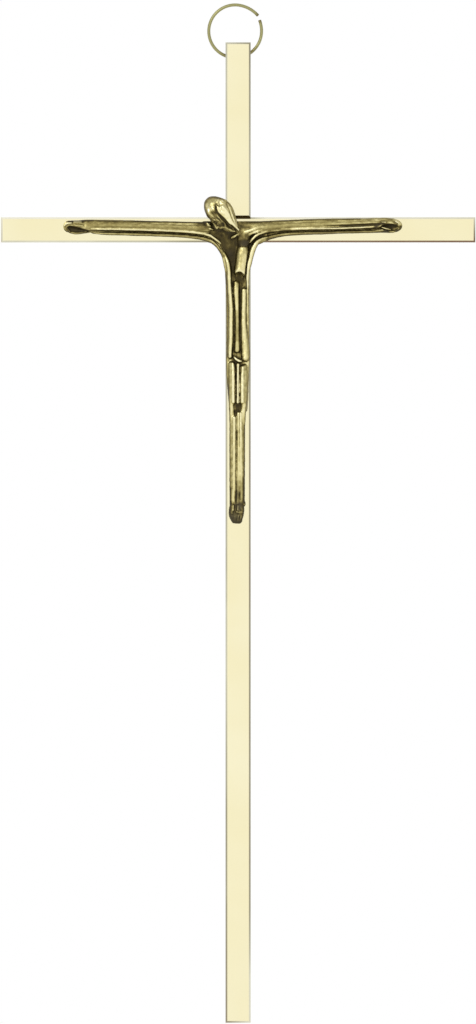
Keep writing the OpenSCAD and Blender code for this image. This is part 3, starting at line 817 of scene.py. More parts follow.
# The locks of hair, each as rows of down, turn, lift and radius
LOCKS = [
    [
        (1.2, 38, -0.2, 0.7), (2.5, 42, -0.3, 1.1), (4.2, 24, -0.3, 1.2), (6, 12, -0.2, 0.95),
        (8, 5, 0, 0.5), (9.6, 1, 0.12, 0.3), (10.5, 0, 0.1, 0.18),
    ],
    [
        (1.3, 72, -0.15, 0.5), (2.8, 72, -0.3, 0.72), (4.6, 56, -0.3, 0.74), (6.4, 44, -0.22, 0.6),
        (8.2, 32, -0.05, 0.38), (9.7, 18, 0, 0.2),
    ],
    [
        (1.3, 96, -0.15, 0.5), (2.8, 94, -0.3, 0.66), (4.8, 82, -0.28, 0.62), (6.8, 72, -0.18, 0.48),
        (8.5, 58, -0.05, 0.28), (9.4, 48, 0, 0.18),
    ],
    [
        (1.3, 122, -0.15, 0.5), (2.9, 118, -0.28, 0.66), (5, 110, -0.26, 0.6), (7, 102, -0.16, 0.45),
        (8.5, 92, -0.05, 0.24),
    ],
    [(1.6, 148, -0.15, 0.5), (3.4, 142, -0.25, 0.64), (5.4, 136, -0.22, 0.58), (7.4, 130, -0.12, 0.4)],
    [
        (1.5, 8, -0.2, 0.5), (2.8, 3, -0.3, 0.85), (4.4, -2, -0.3, 0.85), (6, -6, -0.2, 0.66),
        (7.8, -10, -0.06, 0.36),
    ],
    [
        (0.5, 0, -0.1, 0.4), (1.1, -34, -0.1, 0.55), (1.9, -50, -0.12, 0.8), (3, -52, -0.18, 0.66),
        (4.2, -46, -0.2, 0.36),
    ],
    [
        (3.6, -20, -0.2, 0.3), (4.6, -22, -0.04, 0.36), (5.4, -30, 0, 0.36), (6.2, -43, 0, 0.32),
        (7, -52, 0, 0.26), (8.2, -54, 0, 0.18),
    ],
    [
        (1.8, -84, -0.1, 0.5), (3.2, -64, -0.1, 0.46), (4.6, -46, -0.05, 0.38), (6.2, -40, 0, 0.32),
        (7.8, -48, 0, 0.2),
    ],
    [(1.4, -90, -0.15, 0.5), (2.4, -78, -0.25, 0.5), (3, -64, -0.3, 0.4)],
    [(1.4, -100, -0.15, 0.5), (2.5, -96, -0.25, 0.5), (3.2, -108, -0.25, 0.4)],
    [(1.6, -125, -0.1, 0.5), (3.2, -128, -0.15, 0.56), (5.2, -130, -0.15, 0.5), (7.2, -128, -0.1, 0.34)],
]
LOCK_EDGE = 0.12
PARTING = [
    (1.5, 10, 0.38, 0.12), (2.1, 3, 0.34, 0.2), (2.8, -6, 0.32, 0.28), (3.6, -11, 0.3, 0.32),
    (4.6, -13, 0.3, 0.28), (5.6, -14, 0.28, 0.26), (6.6, -19, 0.26, 0.34), (7.6, -28, 0.25, 0.42),
    (8.4, -33, 0.25, 0.4), (9.5, -46, 0.3, 0.4),
]
PARTING_EDGE = 0.15


def out_of_head(turn):
    """The way out from the head's middle line, at a turn in degrees."""
    return HEAD_OUT * math.cos(math.radians(turn)) + HEAD_ASIDE * math.sin(math.radians(turn))


# The face looks down to the figure's own right shoulder, turned a little outward
FACE_TURN = -80
FACE_AHEAD = out_of_head(FACE_TURN)
FACE_SIDE = out_of_head(FACE_TURN + 90)
FACE_BASE = [(4.4, FACE_TURN, -1.2, 1.5), (6.0, FACE_TURN, -0.85, 1.6), (7.6, FACE_TURN, -0.35, 1.3)]

# The face's features, as rows of down, aside, ahead and radius, carved as the figure's runs are
# On each side: cheek, brow, the eye's hollow, its lid and the lid's line, nostril, and the beard's locks
FACE_SIDES = [
    (ROUND, 0.35, [(5.35, 0.95, 2.45, 0.42), (5.6, 1.35, 2.2, 0.42)]),
    (ROUND, 0.15, [
        (4.3, 0.1, 3.1, 0.28), (4.1, 0.6, 3.05, 0.3), (4.2, 1.15, 2.75, 0.28), (4.6, 1.55, 2.35, 0.22),
    ]),
    (CUT, 0.15, [(4.85, 0.48, 3.25, 0.46), (4.9, 1.05, 2.95, 0.44)]),
    (ROUND, 0.06, [(4.9, 0.55, 2.68, 0.32), (4.92, 0.92, 2.57, 0.32)]),
    (CUT, 0.04, [(4.98, 0.32, 3.0, 0.1), (5.08, 0.72, 3.0, 0.11), (4.98, 1.12, 2.82, 0.1)]),
    (ROUND, 0.1, [(6.0, 0.28, 3.2, 0.22), (6.2, 0.34, 3.12, 0.24)]),
    (ROUND, 0.1, [
        (5.6, 1.8, 1.72, 0.3), (6.6, 1.5, 1.45, 0.4), (7.5, 1.05, 1.95, 0.4), (8.4, 0.62, 1.85, 0.34),
        (9.4, 0.25, 0.9, 0.24),
    ]),
    (ROUND, 0.08, [(7.3, 0.62, 2.35, 0.3), (8.1, 0.42, 2.2, 0.32), (9.1, 0.2, 1.5, 0.26)]),
]
# In the middle: nose, lower lip and beard
FACE_MIDDLE = [
    (ROUND, 0.12, [
        (4.45, 0, 3.1, 0.24), (5.2, 0, 3.28, 0.25), (5.85, 0, 3.48, 0.28), (6.15, 0, 3.5, 0.32),
    ]),
    (ROUND, 0.06, [(7.12, -0.28, 2.8, 0.17), (7.12, 0.28, 2.8, 0.17)]),
    (ROUND, 0.08, [(7.6, 0, 2.35, 0.36), (8.3, 0, 2.1, 0.4), (9.1, 0, 1.5, 0.36), (9.9, 0, 0.9, 0.24)]),
]
MOUSTACHE = [
    (ROUND, 0.06, [
        (6.58, 0.1, 3.08, 0.22), (6.72, 0.5, 2.95, 0.26), (7.1, 0.95, 2.5, 0.22), (7.5, 1.2, 2.1, 0.15),
    ]),
]
MOUTH = [(CUT, 0.04, [(6.96, -0.4, 2.98, 0.1), (6.94, 0, 3.06, 0.1), (6.96, 0.4, 2.98, 0.1)])]


def face_run(stations, side):
    """A run on the face, on its one side or mirrored to the other."""
    places = []
    for down, aside, ahead, size in stations:
        middle = HEAD_TOP + HEAD_DOWN * down + HEAD_OUT * egg(down)[1]
        place = middle + FACE_AHEAD * ahead + FACE_SIDE * aside * side
        places.append((*place, size, size))
    return places


def carve_face(casting):
    """A calm, bearded face with closed eyes, on the side of the head away from the hair."""
    casting.carve(ROUND, 0.5, head_run(FACE_BASE))
    for sides, features in (
        ((-1, 1), FACE_SIDES), ((1,), FACE_MIDDLE), ((-1, 1), MOUSTACHE), ((1,), MOUTH),
    ):
        for side in sides:
            for kind, radius, stations in features:
                casting.carve(kind, radius, face_run(stations, side))


def carve_head(casting):
    """The head's egg, then its face, its hair and the parting between them."""
    rows = [(*(HEAD_TOP + HEAD_DOWN * down + HEAD_OUT * middle), radius, radius)
            for down, radius, middle in EGG[2:]]
    casting.carve(ROUND, 0.2, rows)
    carve_face(casting)
    for stations in LOCKS:
        casting.carve(ROUND, LOCK_EDGE, head_run(stations))
    casting.carve(CUT, PARTING_EDGE, head_run(PARTING))


WAVES = 14


def waves(points, length, seed):
    """Smooth noise about nought, made of waves in fixed random directions."""
    draw = np.random.default_rng(seed)
    total = np.zeros(len(points))
    for _ in range(WAVES):
        direction = draw.normal(size=3)
        direction *= 2 * math.pi / (length * np.linalg.norm(direction)) * draw.uniform(0.6, 1.5)
        total += np.sin(points @ direction + draw.uniform(0, 2 * math.pi))
    return total / math.sqrt(WAVES)


def fade(values, start, span):
    """A share that grows from 0 at the start to 1 at the end of a span."""
    return np.clip((values - start) / span, 0, 1)


# The skin: depth, wave length and seed of the dents and of the lines along the limbs
SKIN = 3 * CELL
DENTS = [(0.018, 1.6, 3), (0.012, 0.6, 5)]
LINES = (0.016, 0.45, 7)
LINE_STRETCH = 0.12
ARMS_ASIDE = 6
ARMS_UP = -4
HAIR_TOP = 0.2
HAIR_END = 9.6
HAIR_AWAY = 4.5
FRINGE = 2.8
FACE_EDGES = (-115, -50)
STRAND_DEPTH = 0.055
STRAND_FADES = [(HAIR_TOP, 2), (-9.8, 3)]
# Strands: their share, how many go round, how they bend, and the height, length and seed of waves
STRANDS = [(1, 13, 1.6, 0.9, 3, 11), (0.5, 29, 0, 1.2, 2, 13)]


def roughen(casting):
    """The skin of the casting: soft dents, fine lines along the limbs, and strands of hair."""
    close = np.argwhere(np.abs(casting.value) < SKIN)
    points = casting.low + CELL * close
    change = sum(depth * waves(points, length, seed) for depth, length, seed in DENTS)
    on_arms = (np.abs(points[:, 0]) > ARMS_ASIDE) & (points[:, 1] > ARMS_UP)
    lengthwise = np.where(on_arms[:, None], points * [LINE_STRETCH, 1, 1], points * [1, LINE_STRETCH, 1])
    change += LINES[0] * waves(lengthwise, *LINES[1:])
    down, turn, away = round_head(points)
    off_face = (turn > FACE_EDGES[1]) | (turn < FACE_EDGES[0]) | (down < FRINGE)
    hair = (down > HAIR_TOP) & (down < HAIR_END) & (away < HAIR_AWAY) & off_face
    turn = np.radians(turn)
    strands = 0
    for share, count, bend, height, length, seed in STRANDS:
        wander = bend * np.sin(0.9 * down) + height * waves(points, length, seed)
        strands += share * np.sin(count * turn + wander)
    upper, lower = STRAND_FADES
    change += STRAND_DEPTH * hair * fade(down, *upper) * fade(-down, *lower) * strands
    casting.value[tuple(close.T)] += change


# Dark patina and painted shade, or rubbed metal and painted highlights where the depth is below nought:
# reach, depth, and rows of across and up
PATINA_AND_SHADING = [
    (1.7, 0.36, [(-5, -0.8), (-3.6, -2.6), (-3.2, -4.4), (-2.6, -6.2)]),
    (1.5, 0.36, [(-2.4, -0.6), (-1.6, -2.6), (-1.4, -5), (-1.6, -7.4), (-1.5, -9.8)]),
    (1.6, 0.5, [(-5.8, 0.8), (-5, 0.6), (-2.5, 0.1), (-1.4, 0.2)]),
    (1.8, 0.18, [(-10, 1.4), (-9.2, 1), (-7.4, 0.6)]),
    (0.8, 0.16, [(-8.6, 1.8), (-8.2, 0.6)]),
    (1.8, 0.3, [(0.3, -1.6), (1.6, -2.4), (1.8, -3.2)]),
    (1.1, 0.4, [(-0.2, -3.3), (1.2, -3.2), (2.6, -3.3)]),
    (1.2, 0.22, [(1.2, 0.7), (2.8, 0.55)]),
    (1.2, 0.35, [(-3.6, 1.3), (-2.2, 0.6), (-1.2, 0.3)]),
    (0.9, 0.1, [(3.4, -2.7), (2.9, -3.3)]),
    (1.7, 0.35, [(0.2, -12.1), (1.2, -13.6)]),
    (1.9, 0.1, [(-42, 0.9), (-30, 0.6), (-20, 0.3), (-12, 0), (-9, -0.6)]),
    (1.9, 0.08, [(40, 1.4), (31, 1.2), (20.9, 1), (12, 0.7), (6, 0.3)]),
    (1.1, 0.26, [(13, 0), (10, -0.2), (7.6, -0.5), (5.6, -0.9)]),
    (0.9, 0.36, [
        (-38, -1.2), (-30, -1.25), (-20, -1.4), (-12, -1.8), (-8, -2.6), (-5, -4.6), (-3.9, -6.6),
    ]),
    (0.9, 0.46, [(38, -0.6), (35, -0.6), (26, -0.75), (16, -1.15), (10, -1.8), (7.6, -2.3)]),
    (0.8, 0.2, [(7, -2.4), (5.5, -3.4)]),
    (0.8, 0.24, [(4.7, -1.4), (3.4, -2.7)]),
    (0.8, 0.26, [(3.6, -1), (2.2, -1.5)]),
    (0.8, 0.42, [(0.3, -4.2), (1.2, -4), (2.6, -4.2)]),
    (0.45, 0.42, [
        (-43.6, 2), (-41.5, 2.3), (-40, 2.2), (-30, 2.02), (-20, 1.98), (-12.3, 1.8), (-8, 1.8),
    ]),
    (0.45, 0.32, [(31, 2.6), (26, 2.5), (15.8, 2.3), (8, 2.05), (0.8, 1.85)]),
    (1.4, 0.45, [(-43.2, -0.2), (-41, -0.3), (-39, -0.5)]),
    (0.8, 0.5, [(40.2, 1), (38, 1.1)]),
    (0.8, 0.45, [(37, 1.5), (36, 1.3), (35, 0.8)]),
    (0.9, 0.35, [(40.4, -0.2), (37.5, -0.2)]),
    (0.7, 0.35, [(41.4, 0.8), (41.2, 0.2), (40.4, -0.4)]),
    (0.6, -0.4, [(39.8, 2.4), (40.8, 2), (41.5, 1.3)]),
    (0.8, -0.4, [(-44.6, 0.7), (-44.3, 1.4), (-43.6, 1.9)]),
    (0.5, 0.3, [(35.5, 1.5), (31, 1.25), (26, 0.95)]),
    (0.6, 0.12, [(37, 0.8), (26, 0.3), (18, 0.2)]),
    (1.6, 0.16, [(1, -5.6), (0.8, -8.2), (0.5, -10.4)]),
    (1, 0.2, [(-0.3, -21), (-0.3, -28)]),
    (1.2, 0.3, [(0.9, -45.2), (0, -45.4), (-0.9, -46.6)]),
    (2, 0.1, [(0.1, -52), (0, -58), (-0.1, -68)]),
    (2.6, 0.2, [(0.4, -65), (0.4, -70)]),
    (1.6, 0.12, [(0.3, -66.5), (0.3, -70)]),
    (1, 0.2, [(-0.5, -67), (-0.6, -70)]),
    (0.5, 0.22, [(-1.95, -66), (-1.95, -70)]),
    (0.5, 0.22, [(1.5, -50), (1.5, -60), (1.6, -69.5)]),
    (0.6, 0.16, [(1.4, -63), (1.5, -69.5)]),
    (1.6, 0.36, [(-1.8, -70.2), (-1.7, -74.5)]),
    (2.4, 0.42, [(0.2, -71.4), (-0.2, -74.9)]),
    (1.6, 0.2, [(-1, -73.2), (0.4, -73.4)]),
    (1.4, 0.16, [(0.9, -69.7), (0.4, -70.7)]),
    (0.5, 0.3, [(-2.1, -71.2), (-2.15, -72.2)]),
    (0.8, 0.34, [(-2.1, -73), (-1.6, -74.2), (-0.6, -74.7), (0.6, -74.6)]),
    (0.5, -0.12, [(-1.3, -66.5), (-1.35, -69.2)]),
    (0.8, 0.14, [
        (-3, -11), (-2.9, -18), (-2.85, -28), (-2.8, -34), (-2.5, -44), (-2.2, -60), (-2.2, -70),
    ]),
    (0.5, 0.15, [(2.2, -15), (2.15, -25)]),
]
# The same on the hair
HAIR_PATINA_AND_SHADING = [
    (0.9, 0.4, [(-5.8, 6.3), (-5.6, 5.4), (-5.4, 4.6)]),
    (1.1, 0.34, [(-6.7, 4.2), (-5.5, 4.4), (-4.5, 3.5), (-3.8, 2.7)]),
    (1.2, 0.2, [(-7.4, 4), (-6.2, 3.6), (-5, 2.8), (-3.9, 2)]),
    (1.1, 0.5, [(-3.4, 1.4), (-2.6, 0.9), (-1.9, 0.5), (-0.9, 0.1)]),
    (0.9, 0.28, [(-2.7, 7.8), (-1.5, 6.5), (-0.7, 5), (-0.4, 3.2)]),
    (0.5, 0.14, [(-8.6, 5.6), (-8.3, 6.8), (-7.3, 7.8), (-6.2, 8.2), (-5, 8.3), (-3.8, 8)]),
    (1.3, 0.2, [(-7.6, 3), (-5.8, 2.8), (-4.4, 1.8), (-3.4, 1)]),
    (1.3, -0.14, [(-3.8, 5.6), (-3.2, 4.6), (-2.3, 2.9), (-1.5, 1.5)]),
    (0.9, -0.2, [(-7.9, 6.2), (-7.6, 5.2), (-6.9, 5)]),
]


def patina_and_shading_depth(points, runs):
    """How deep the patina and painted shade of some runs lie at each point."""
    flat = points[:, :2]
    total = np.zeros(len(points))
    for reach, depth, places in runs:
        nearest = np.full(len(points), FAR + reach)
        for first, last in zip(places, places[1:]):
            start, along = np.array(first), np.array(last) - np.array(first)
            t = np.clip((flat - start) @ along / (along @ along), 0, 1)
            nearest = np.minimum(nearest, np.linalg.norm(flat - start - t[:, None] * along, axis=1))
        share = np.clip(1 - nearest / reach, 0, 1)
        total += depth * share * share * (3 - 2 * share)
    return total


# How far hollows and edges are felt for, and how much each thing rubs a point bright or darkens it with
# patina and painted shade
FEELERS = (0.4, 0.8, 1.3)
PROUD = (1.35, 1.3)
HAIR_OUT = 3.2
HAIR_PROUD = 0.8
RUB_PLAIN = 0.47
RUB_PROUD = 0.4
RUB_EDGE = 0.9
SIDE_SHADE = 0.36
HOLLOW_AND_SHADOW = 0.8
RUB_LEAST = 0.05
GREY_GAIN = 2.4
GREY_FROM = 0.9
GREY_MOST = 0.8
# The hair's shaded side and the face: the start and span of their turns and of their distances down
SHADE_TURN, SHADE_DOWN = (38, 25), (3.2, 1.5)
SHADE_DEPTH = 0.42
FACE_TURNS, FACE_DOWNS = (46, 12), (2.4, 0.8)
FACE_PLAIN = 0.19
FACE_EDGE = 0.55
FACE_OUT = 1.85
FACE_AWAY = 4.3
FACE_END = 10.4


def rub_and_shade(casting, points):
    """How bright each point is rubbed, 0 in a hollow to 1 on a ridge, with painted shade and painted
    highlights, and how grey it is.
    """
    normals = casting.normals(points)
    shut_and_shadow = np.zeros(len(points))
    edge = np.zeros(len(points))
    for depth in FEELERS:
        ahead = points + normals * depth
        # Nearness to the bars' plane counts as a hollow: painted contact shadow along the bars
        free = np.minimum(casting.sample(ahead), np.maximum(ahead[:, 2], 0))
        shut_and_shadow += np.clip(1 - free / depth, 0, 1) / len(FEELERS)
        edge += np.clip(1 + casting.sample(points - normals * depth) / depth, 0, 1) / len(FEELERS)
    # Wear shows only where a point faces the front, a painted highlight; sides turned away get painted
    # shade
    facing = np.clip(normals[:, 2], 0, 1)
    on_hair = points[:, 2] > HAIR_OUT
    proud = np.where(on_hair, HAIR_PROUD, fade(points[:, 2], *PROUD))
    down, turn, away = round_head(points)
    # The hair's side turned down to the face gets painted shade
    shaded = SHADE_DEPTH * fade(-turn, *SHADE_TURN) * fade(down, *SHADE_DOWN)
    dull_and_shade = np.where(on_hair, patina_and_shading_depth(points, HAIR_PATINA_AND_SHADING) + shaded, patina_and_shading_depth(points, PATINA_AND_SHADING))
    rubbed_and_shaded = RUB_PLAIN + (RUB_PROUD * proud + RUB_EDGE * edge) * facing ** 2
    rubbed_and_shaded -= SIDE_SHADE * (1 - facing) ** 1.5
    # The face gets a plain dark tone, patina and painted shade, with its ridges rubbed bright
    on_face = fade(-turn, *FACE_TURNS) * fade(down, *FACE_DOWNS)
    on_face *= (points[:, 2] > FACE_OUT) & (away < FACE_AWAY) & (down < FACE_END)
    rubbed_and_shaded += on_face * (FACE_PLAIN + FACE_EDGE * edge - rubbed_and_shaded)
    dull_and_shade *= 1 - on_face
    rubbed_and_shaded = np.clip(rubbed_and_shaded - HOLLOW_AND_SHADOW * shut_and_shadow - dull_and_shade, RUB_LEAST, 1)
    return rubbed_and_shaded, np.where(on_hair, 0, np.clip(GREY_GAIN * dull_and_shade - GREY_FROM, 0, GREY_MOST))


def cast_figure():
    """The figure's finished mesh."""
    casting = Casting(CASTING_LOW, CASTING_HIGH)
    casting.lay_floor(FLOOR)
    for kind, radius, runs in CARVING:
        for rows in runs:
            casting.carve(kind, radius, rows)
    carve_head(casting)
    roughen(casting)
    outs = casting.low[2] + CELL * np.arange(casting.value.shape[2])
    uncut = casting.value
    casting.value = np.maximum(uncut, -outs[None, None, :]).astype(np.float32)
    casting.close_corners()
    points, faces = casting.surface()
    casting.value = uncut
    place = np.stack([
        points[:, 0] * MM,
        FRONT_Y - np.maximum(points[:, 2], 0) * MM,
        CROSS_Z + points[:, 1] * MM,
    ], axis=1)
    mesh = bpy.data.meshes.new("corpus_cast")
    mesh.from_pydata(place.tolist(), [], faces.tolist())
    # The marks carry wear and patina with painted highlights and painted shade
    for name, values in zip(("rubbed_and_shaded", "dull_and_shade"), rub_and_shade(casting, points)):
        mark = mesh.attributes.new(name, "FLOAT", "POINT")
        mark.data.foreach_set("value", values.astype(np.float32))
    trim_casting(mesh)
    mesh.shade_smooth()
    return mesh


def trim_casting(mesh):
    """Keeps the one piece that holds the head's front, and joins the cells of the flat back."""
    form = bmesh.new()
    form.from_mesh(mesh)
    ahead = [min(form.verts, key=lambda vertex: vertex.co.y)]
    joined = set(ahead)
    while ahead:
        for edge in ahead.pop().link_edges:
            for vertex in edge.verts:
                if vertex not in joined:
                    joined.add(vertex)
                    ahead.append(vertex)
    loose = [vertex for vertex in form.verts if vertex not in joined]
    bmesh.ops.delete(form, geom=loose, context="VERTS")
    back = {face for face in form.faces if all(vertex.co.y > FRONT_Y - TINY for vertex in face.verts)}
    verts = [vertex for vertex in form.verts if not back.isdisjoint(vertex.link_faces)]
    edges = [edge for edge in form.edges if not back.isdisjoint(edge.link_faces)]
    bmesh.ops.dissolve_limit(form, angle_limit=FLAT_ANGLE, verts=verts, edges=edges)
    form.to_mesh(mesh)
    form.free()


BAR_PART = 4.8 * MM
FRONT_BEVEL = 0.45 * MM
BACK_BEVEL = 0.2 * MM
WELD = 0.002 * MM
SPARE = 0.03 * MM
RING_HOLE_R = 1.1376 * MM
PIN_R = 0.8 * MM
PIN_HEAD_R = 1.4 * MM
PIN_HEAD_T = 0.7 * MM
CUTTER_SIDES = 48
CUTTER_SHIFT = 0.37
PIN_SIDES = 40


def box_form(size, middle):
    form = bmesh.new()
    bmesh.ops.create_cube(form, size=1)
    bmesh.ops.scale(form, vec=size, verts=form.verts)
    bmesh.ops.translate(form, vec=middle, verts=form.verts)
    return form


def slice_form(form, place, way):
    """Parts the faces of a form along a plane."""
    everything = form.verts[:] + form.edges[:] + form.faces[:]
    bmesh.ops.bisect_plane(form, geom=everything, plane_co=place, plane_no=way)


def bar_mesh(name, low, high):
    """A flat bar as a mesh: wide bevels round its front, narrow ones round its back."""
    size = high - low
    form = box_form(size, (high + low) / 2)
    for y, width in ((low.y, FRONT_BEVEL), (high.y, BACK_BEVEL)):
        edges = [edge for edge in form.edges if all(abs(v.co.y - y) < TINY for v in edge.verts)]
        bmesh.ops.bevel(form, geom=edges, offset=width, segments=1, affect="EDGES")
    axis = 0 if size.x > size.z else 2
    way = Vector((axis == 0, 0, axis == 2))
    count = round(size[axis] / BAR_PART)
    for i in range(1, count):
        slice_form(form, low + way * (size[axis] * i / count), way)
    if axis == 0:
        for x in (UPRIGHT_LOW.x, UPRIGHT_HIGH.x):
            slice_form(form, (x, 0, 0), way)
    return new_mesh(name, form)


def circle(count, shift=0):
    """The cosines and sines of evenly spaced angles, shifted by a part of a step."""
    angles = [2 * math.pi * (i + shift) / count for i in range(count)]
    return [(math.cos(angle), math.sin(angle)) for angle in angles]


def skin(form, rings):
    """Joins rings of corners with faces. A ring of one corner ends them in a point."""
    for near, far in zip(rings, rings[1:]):
        count = max(len(near), len(far))
        for i in range(count):
            j = (i + 1) % count
            if len(near) == 1:
                form.faces.new((near[0], far[j], far[i]))
            elif len(far) == 1:
                form.faces.new((near[i], near[j], far[0]))
            else:
                form.faces.new((near[i], near[j], far[j], far[i]))


def cylinder_cutter(rows, place, turn):
    """A turned cutter from rows of height and radius, set at a place and turned."""
    form = bmesh.new()
    rings = []
    for height, radius in rows:
        ring = circle(CUTTER_SIDES, CUTTER_SHIFT)
        rings.append([form.verts.new((radius * x, radius * y, height)) for x, y in ring])
    skin(form, rings)
    form.faces.new(rings[0][::-1])
    form.faces.new(rings[-1])
    bmesh.ops.transform(form, matrix=Matrix.Translation(place) @ turn, verts=form.verts)
    return form


def wedge_cutter(half, low_y, high_y, mouth_y, spread):
    """A cutter for the upright's halving, whose mouth spreads towards the front."""
    outline = [
        (-half, high_y), (half, high_y), (half, mouth_y), (half + spread, low_y),
        (-half - spread, low_y), (-half, mouth_y),
    ]
    form = bmesh.new()
    sides = []
    for x in (-BAR_W, BAR_W):
        sides.append([form.verts.new((x, y, CROSS_Z + z)) for z, y in outline])
    form.faces.new(sides[0])
    form.faces.new(sides[1][::-1])
    for i in range(len(outline)):
        j = (i + 1) % len(outline)
        form.faces.new((sides[0][j], sides[0][i], sides[1][i], sides[1][j]))
    return form


def cut_bar(piece, cutters):
    """Takes each cutter's shape out of a bar."""
    for form in cutters:
        bmesh.ops.recalc_face_normals(form, faces=form.faces)
        cutter = new_object("cutter", new_mesh("cutter", form))
        cut = piece.modifiers.new("cut", "BOOLEAN")
        cut.operation = "DIFFERENCE"
        cut.solver = "EXACT"
        cut.object = cutter
        shapes = bpy.context.evaluated_depsgraph_get()
        mesh = bpy.data.meshes.new_from_object(piece.evaluated_get(shapes))
        piece.modifiers.clear()
        piece.data = mesh
        bpy.data.objects.remove(cutter)
    form = bmesh.new()
    form.from_mesh(piece.data)
    bmesh.ops.remove_doubles(form, verts=form.verts, dist=WELD)
    form.to_mesh(piece.data)
    form.free()


def pin_places():
    """The middles of the pins: two in the arms, one at the crossing, one in the legs."""
    pins = frame["nodes"]["corpus_pins"].data.vertices
    groups = []
    for spot in [vertex.co for vertex in pins if vertex.co.y > BACK_Y - 0.01 * MM]:
        for group in groups:
            if (group[0] - spot).length < 4 * PIN_HEAD_R:
                group.append(spot)
                break
        else:
            groups.append([spot])
    places = []
    for group in groups:
        xs = [spot.x for spot in group]
        zs = [spot.z for spot in group]
        places.append(((min(xs) + max(xs)) / 2, (min(zs) + max(zs)) / 2))
    return places


def pin_cutters(places):
    turn = Matrix.Rotation(math.radians(-90), 4, "X")
    rows = [
        (-BAR_T, PIN_R + SPARE), (BAR_T / 2 - PIN_HEAD_T, PIN_R + SPARE),
        (BAR_T / 2, PIN_HEAD_R + SPARE), (BAR_T, PIN_HEAD_R + SPARE),
    ]
    return [cylinder_cutter(rows, Vector((x, 0, z)), turn) for x, z in places]


# How dark the bevels are from tarnish and painted reflection, by millimetres across or up from the
# crossing
CROSSBAR_LOWER = [(-60, 0.3), (-25, 0.38), (-15, 0.6), (-8, 0.75), (8, 0.95), (60, 0.92)]
CROSSBAR_UPPER = [(-60, 0.05), (0, 0.1), (60, 0.3)]
UPRIGHT_LEFT = [(-202, 0.72), (-150, 0.62), (-110, 0.35), (-60, 0.5), (0, 0.35), (47, 0.36)]
UPRIGHT_RIGHT = [
    (-202, 0.25), (-190, 0.3), (-175, 0.66), (-60, 0.7), (10, 0.45), (40, 0.66), (47, 0.68),
]
LEFT_END = 0.6
RIGHT_END = 0.25
ELSEWHERE = 0.4


def bevel_tarnish_and_reflection(place):
    """How dark a bevel is from tarnish and painted reflection: the crossbar's lower one is brown on its
    right half.
    """
    x, z = place.x / MM, (place.z - CROSS_Z) / MM
    half = BAR_W / MM / 2
    at_joint = 2 < abs(z) < half + 0.01 and abs(x) > 3.4
    if abs(x) > half + 0.5 or at_joint:
        if abs(z) <= half / 2:
            return LEFT_END if x < 0 else RIGHT_END
        table = CROSSBAR_LOWER if z < 0 else CROSSBAR_UPPER
        return float(np.interp(x, *zip(*table)))
    if abs(x) <= half / 2:
        return ELSEWHERE
    table = UPRIGHT_LEFT if x < 0 else UPRIGHT_RIGHT
    return float(np.interp(z, *zip(*table)))


# Which faces are bevels, by how much they face front or back, and the size of the bars' groove
BEVEL_LEAST = 0.1
BEVEL_MOST = 0.95
GROOVE_SIDE = 1.6 * FRONT_BEVEL
GROOVE_DEEP = 1.2 * FRONT_BEVEL


def shade_bar(piece, materials):
    """Gives a bar, its bevels and the groove at the crossing their materials."""
    for material in materials:
        piece.data.materials.append(material)
    # Each bevel's tarnish and painted reflection, by where it lies
    mark = piece.data.attributes.new("tarnish_and_reflection", "FLOAT", "POINT")
    mark.data.foreach_set("value", [bevel_tarnish_and_reflection(vertex.co) for vertex in piece.data.vertices])
    for face in piece.data.polygons:
        lean = abs(face.normal.y)
        beside = abs(abs(face.center.z - CROSS_Z) - BAR_W / 2)
        at_groove = abs(face.center.x) < BAR_W / 2 and beside < GROOVE_SIDE
        # The groove's faces take the seam's grime and painted shade
        if at_groove and face.center.y < FRONT_Y + GROOVE_DEEP and lean < BEVEL_MOST:
            face.material_index = 2
        elif BEVEL_LEAST < lean < BEVEL_MOST:
            face.material_index = 1


def make_bars():
    """The two bars, halved into each other and drilled for the ring and the pins."""
    materials = (polished_brass(), bevel_brass(), seam_grime_and_shade())
    pins = pin_places()
    in_upright = [place for place in pins if abs(place[0]) < BAR_W / 2]
    in_crossbar = [place for place in pins if abs(place[1] - CROSS_Z) < BAR_W / 2]
    ring_hole = cylinder_cutter(
        [(-BAR_W, RING_HOLE_R), (BAR_W, RING_HOLE_R)],
        Vector((0, 0, SWING_Z)), Matrix.Rotation(math.radians(90), 4, "Y"),
    )
    halving = wedge_cutter(BAR_W / 2, FRONT_Y - BAR_T, 0, FRONT_Y + FRONT_BEVEL, BAR_T + FRONT_BEVEL)
    lap = box_form((BAR_W, BAR_T, 2 * BAR_W), (0, BAR_T / 2, CROSS_Z))
    for node, low, high, cutters in (
        ("upright_bar", UPRIGHT_LOW, UPRIGHT_HIGH, [halving, ring_hole, *pin_cutters(in_upright)]),
        ("crossbar", CROSSBAR_LOW, CROSSBAR_HIGH, [lap, *pin_cutters(in_crossbar)]),
    ):
        name = node + "_brass"
        piece = new_piece(name, bar_mesh(name, low, high), [], "cross", node)
        cut_bar(piece, cutters)
        shade_bar(piece, materials)


# The ring's wire, and the degrees round it from its upper cut end to its lower one
WIRE_R = 0.4 * MM
WIRE_SIDES = 20
RING_STEPS = 96
RING_FROM = 34.6
RING_TO = 384.2
TIP_R = WIRE_R * 0.8
TIP_STEP = 0.06 * MM
# How far each end is bent outward, and over how many degrees
UPPER_BEND = (0.34 * MM, 45)
LOWER_BEND = (0.12 * MM, 25)
# Where painted shade darkens the wire beside the bar, and over how many degrees
WIRE_SHADE = [(250, 22), (312, 16)]
WIRE_SHADE_DEPTH = 0.55
END_BRIGHT = 0.2
END_DEGREES = 14


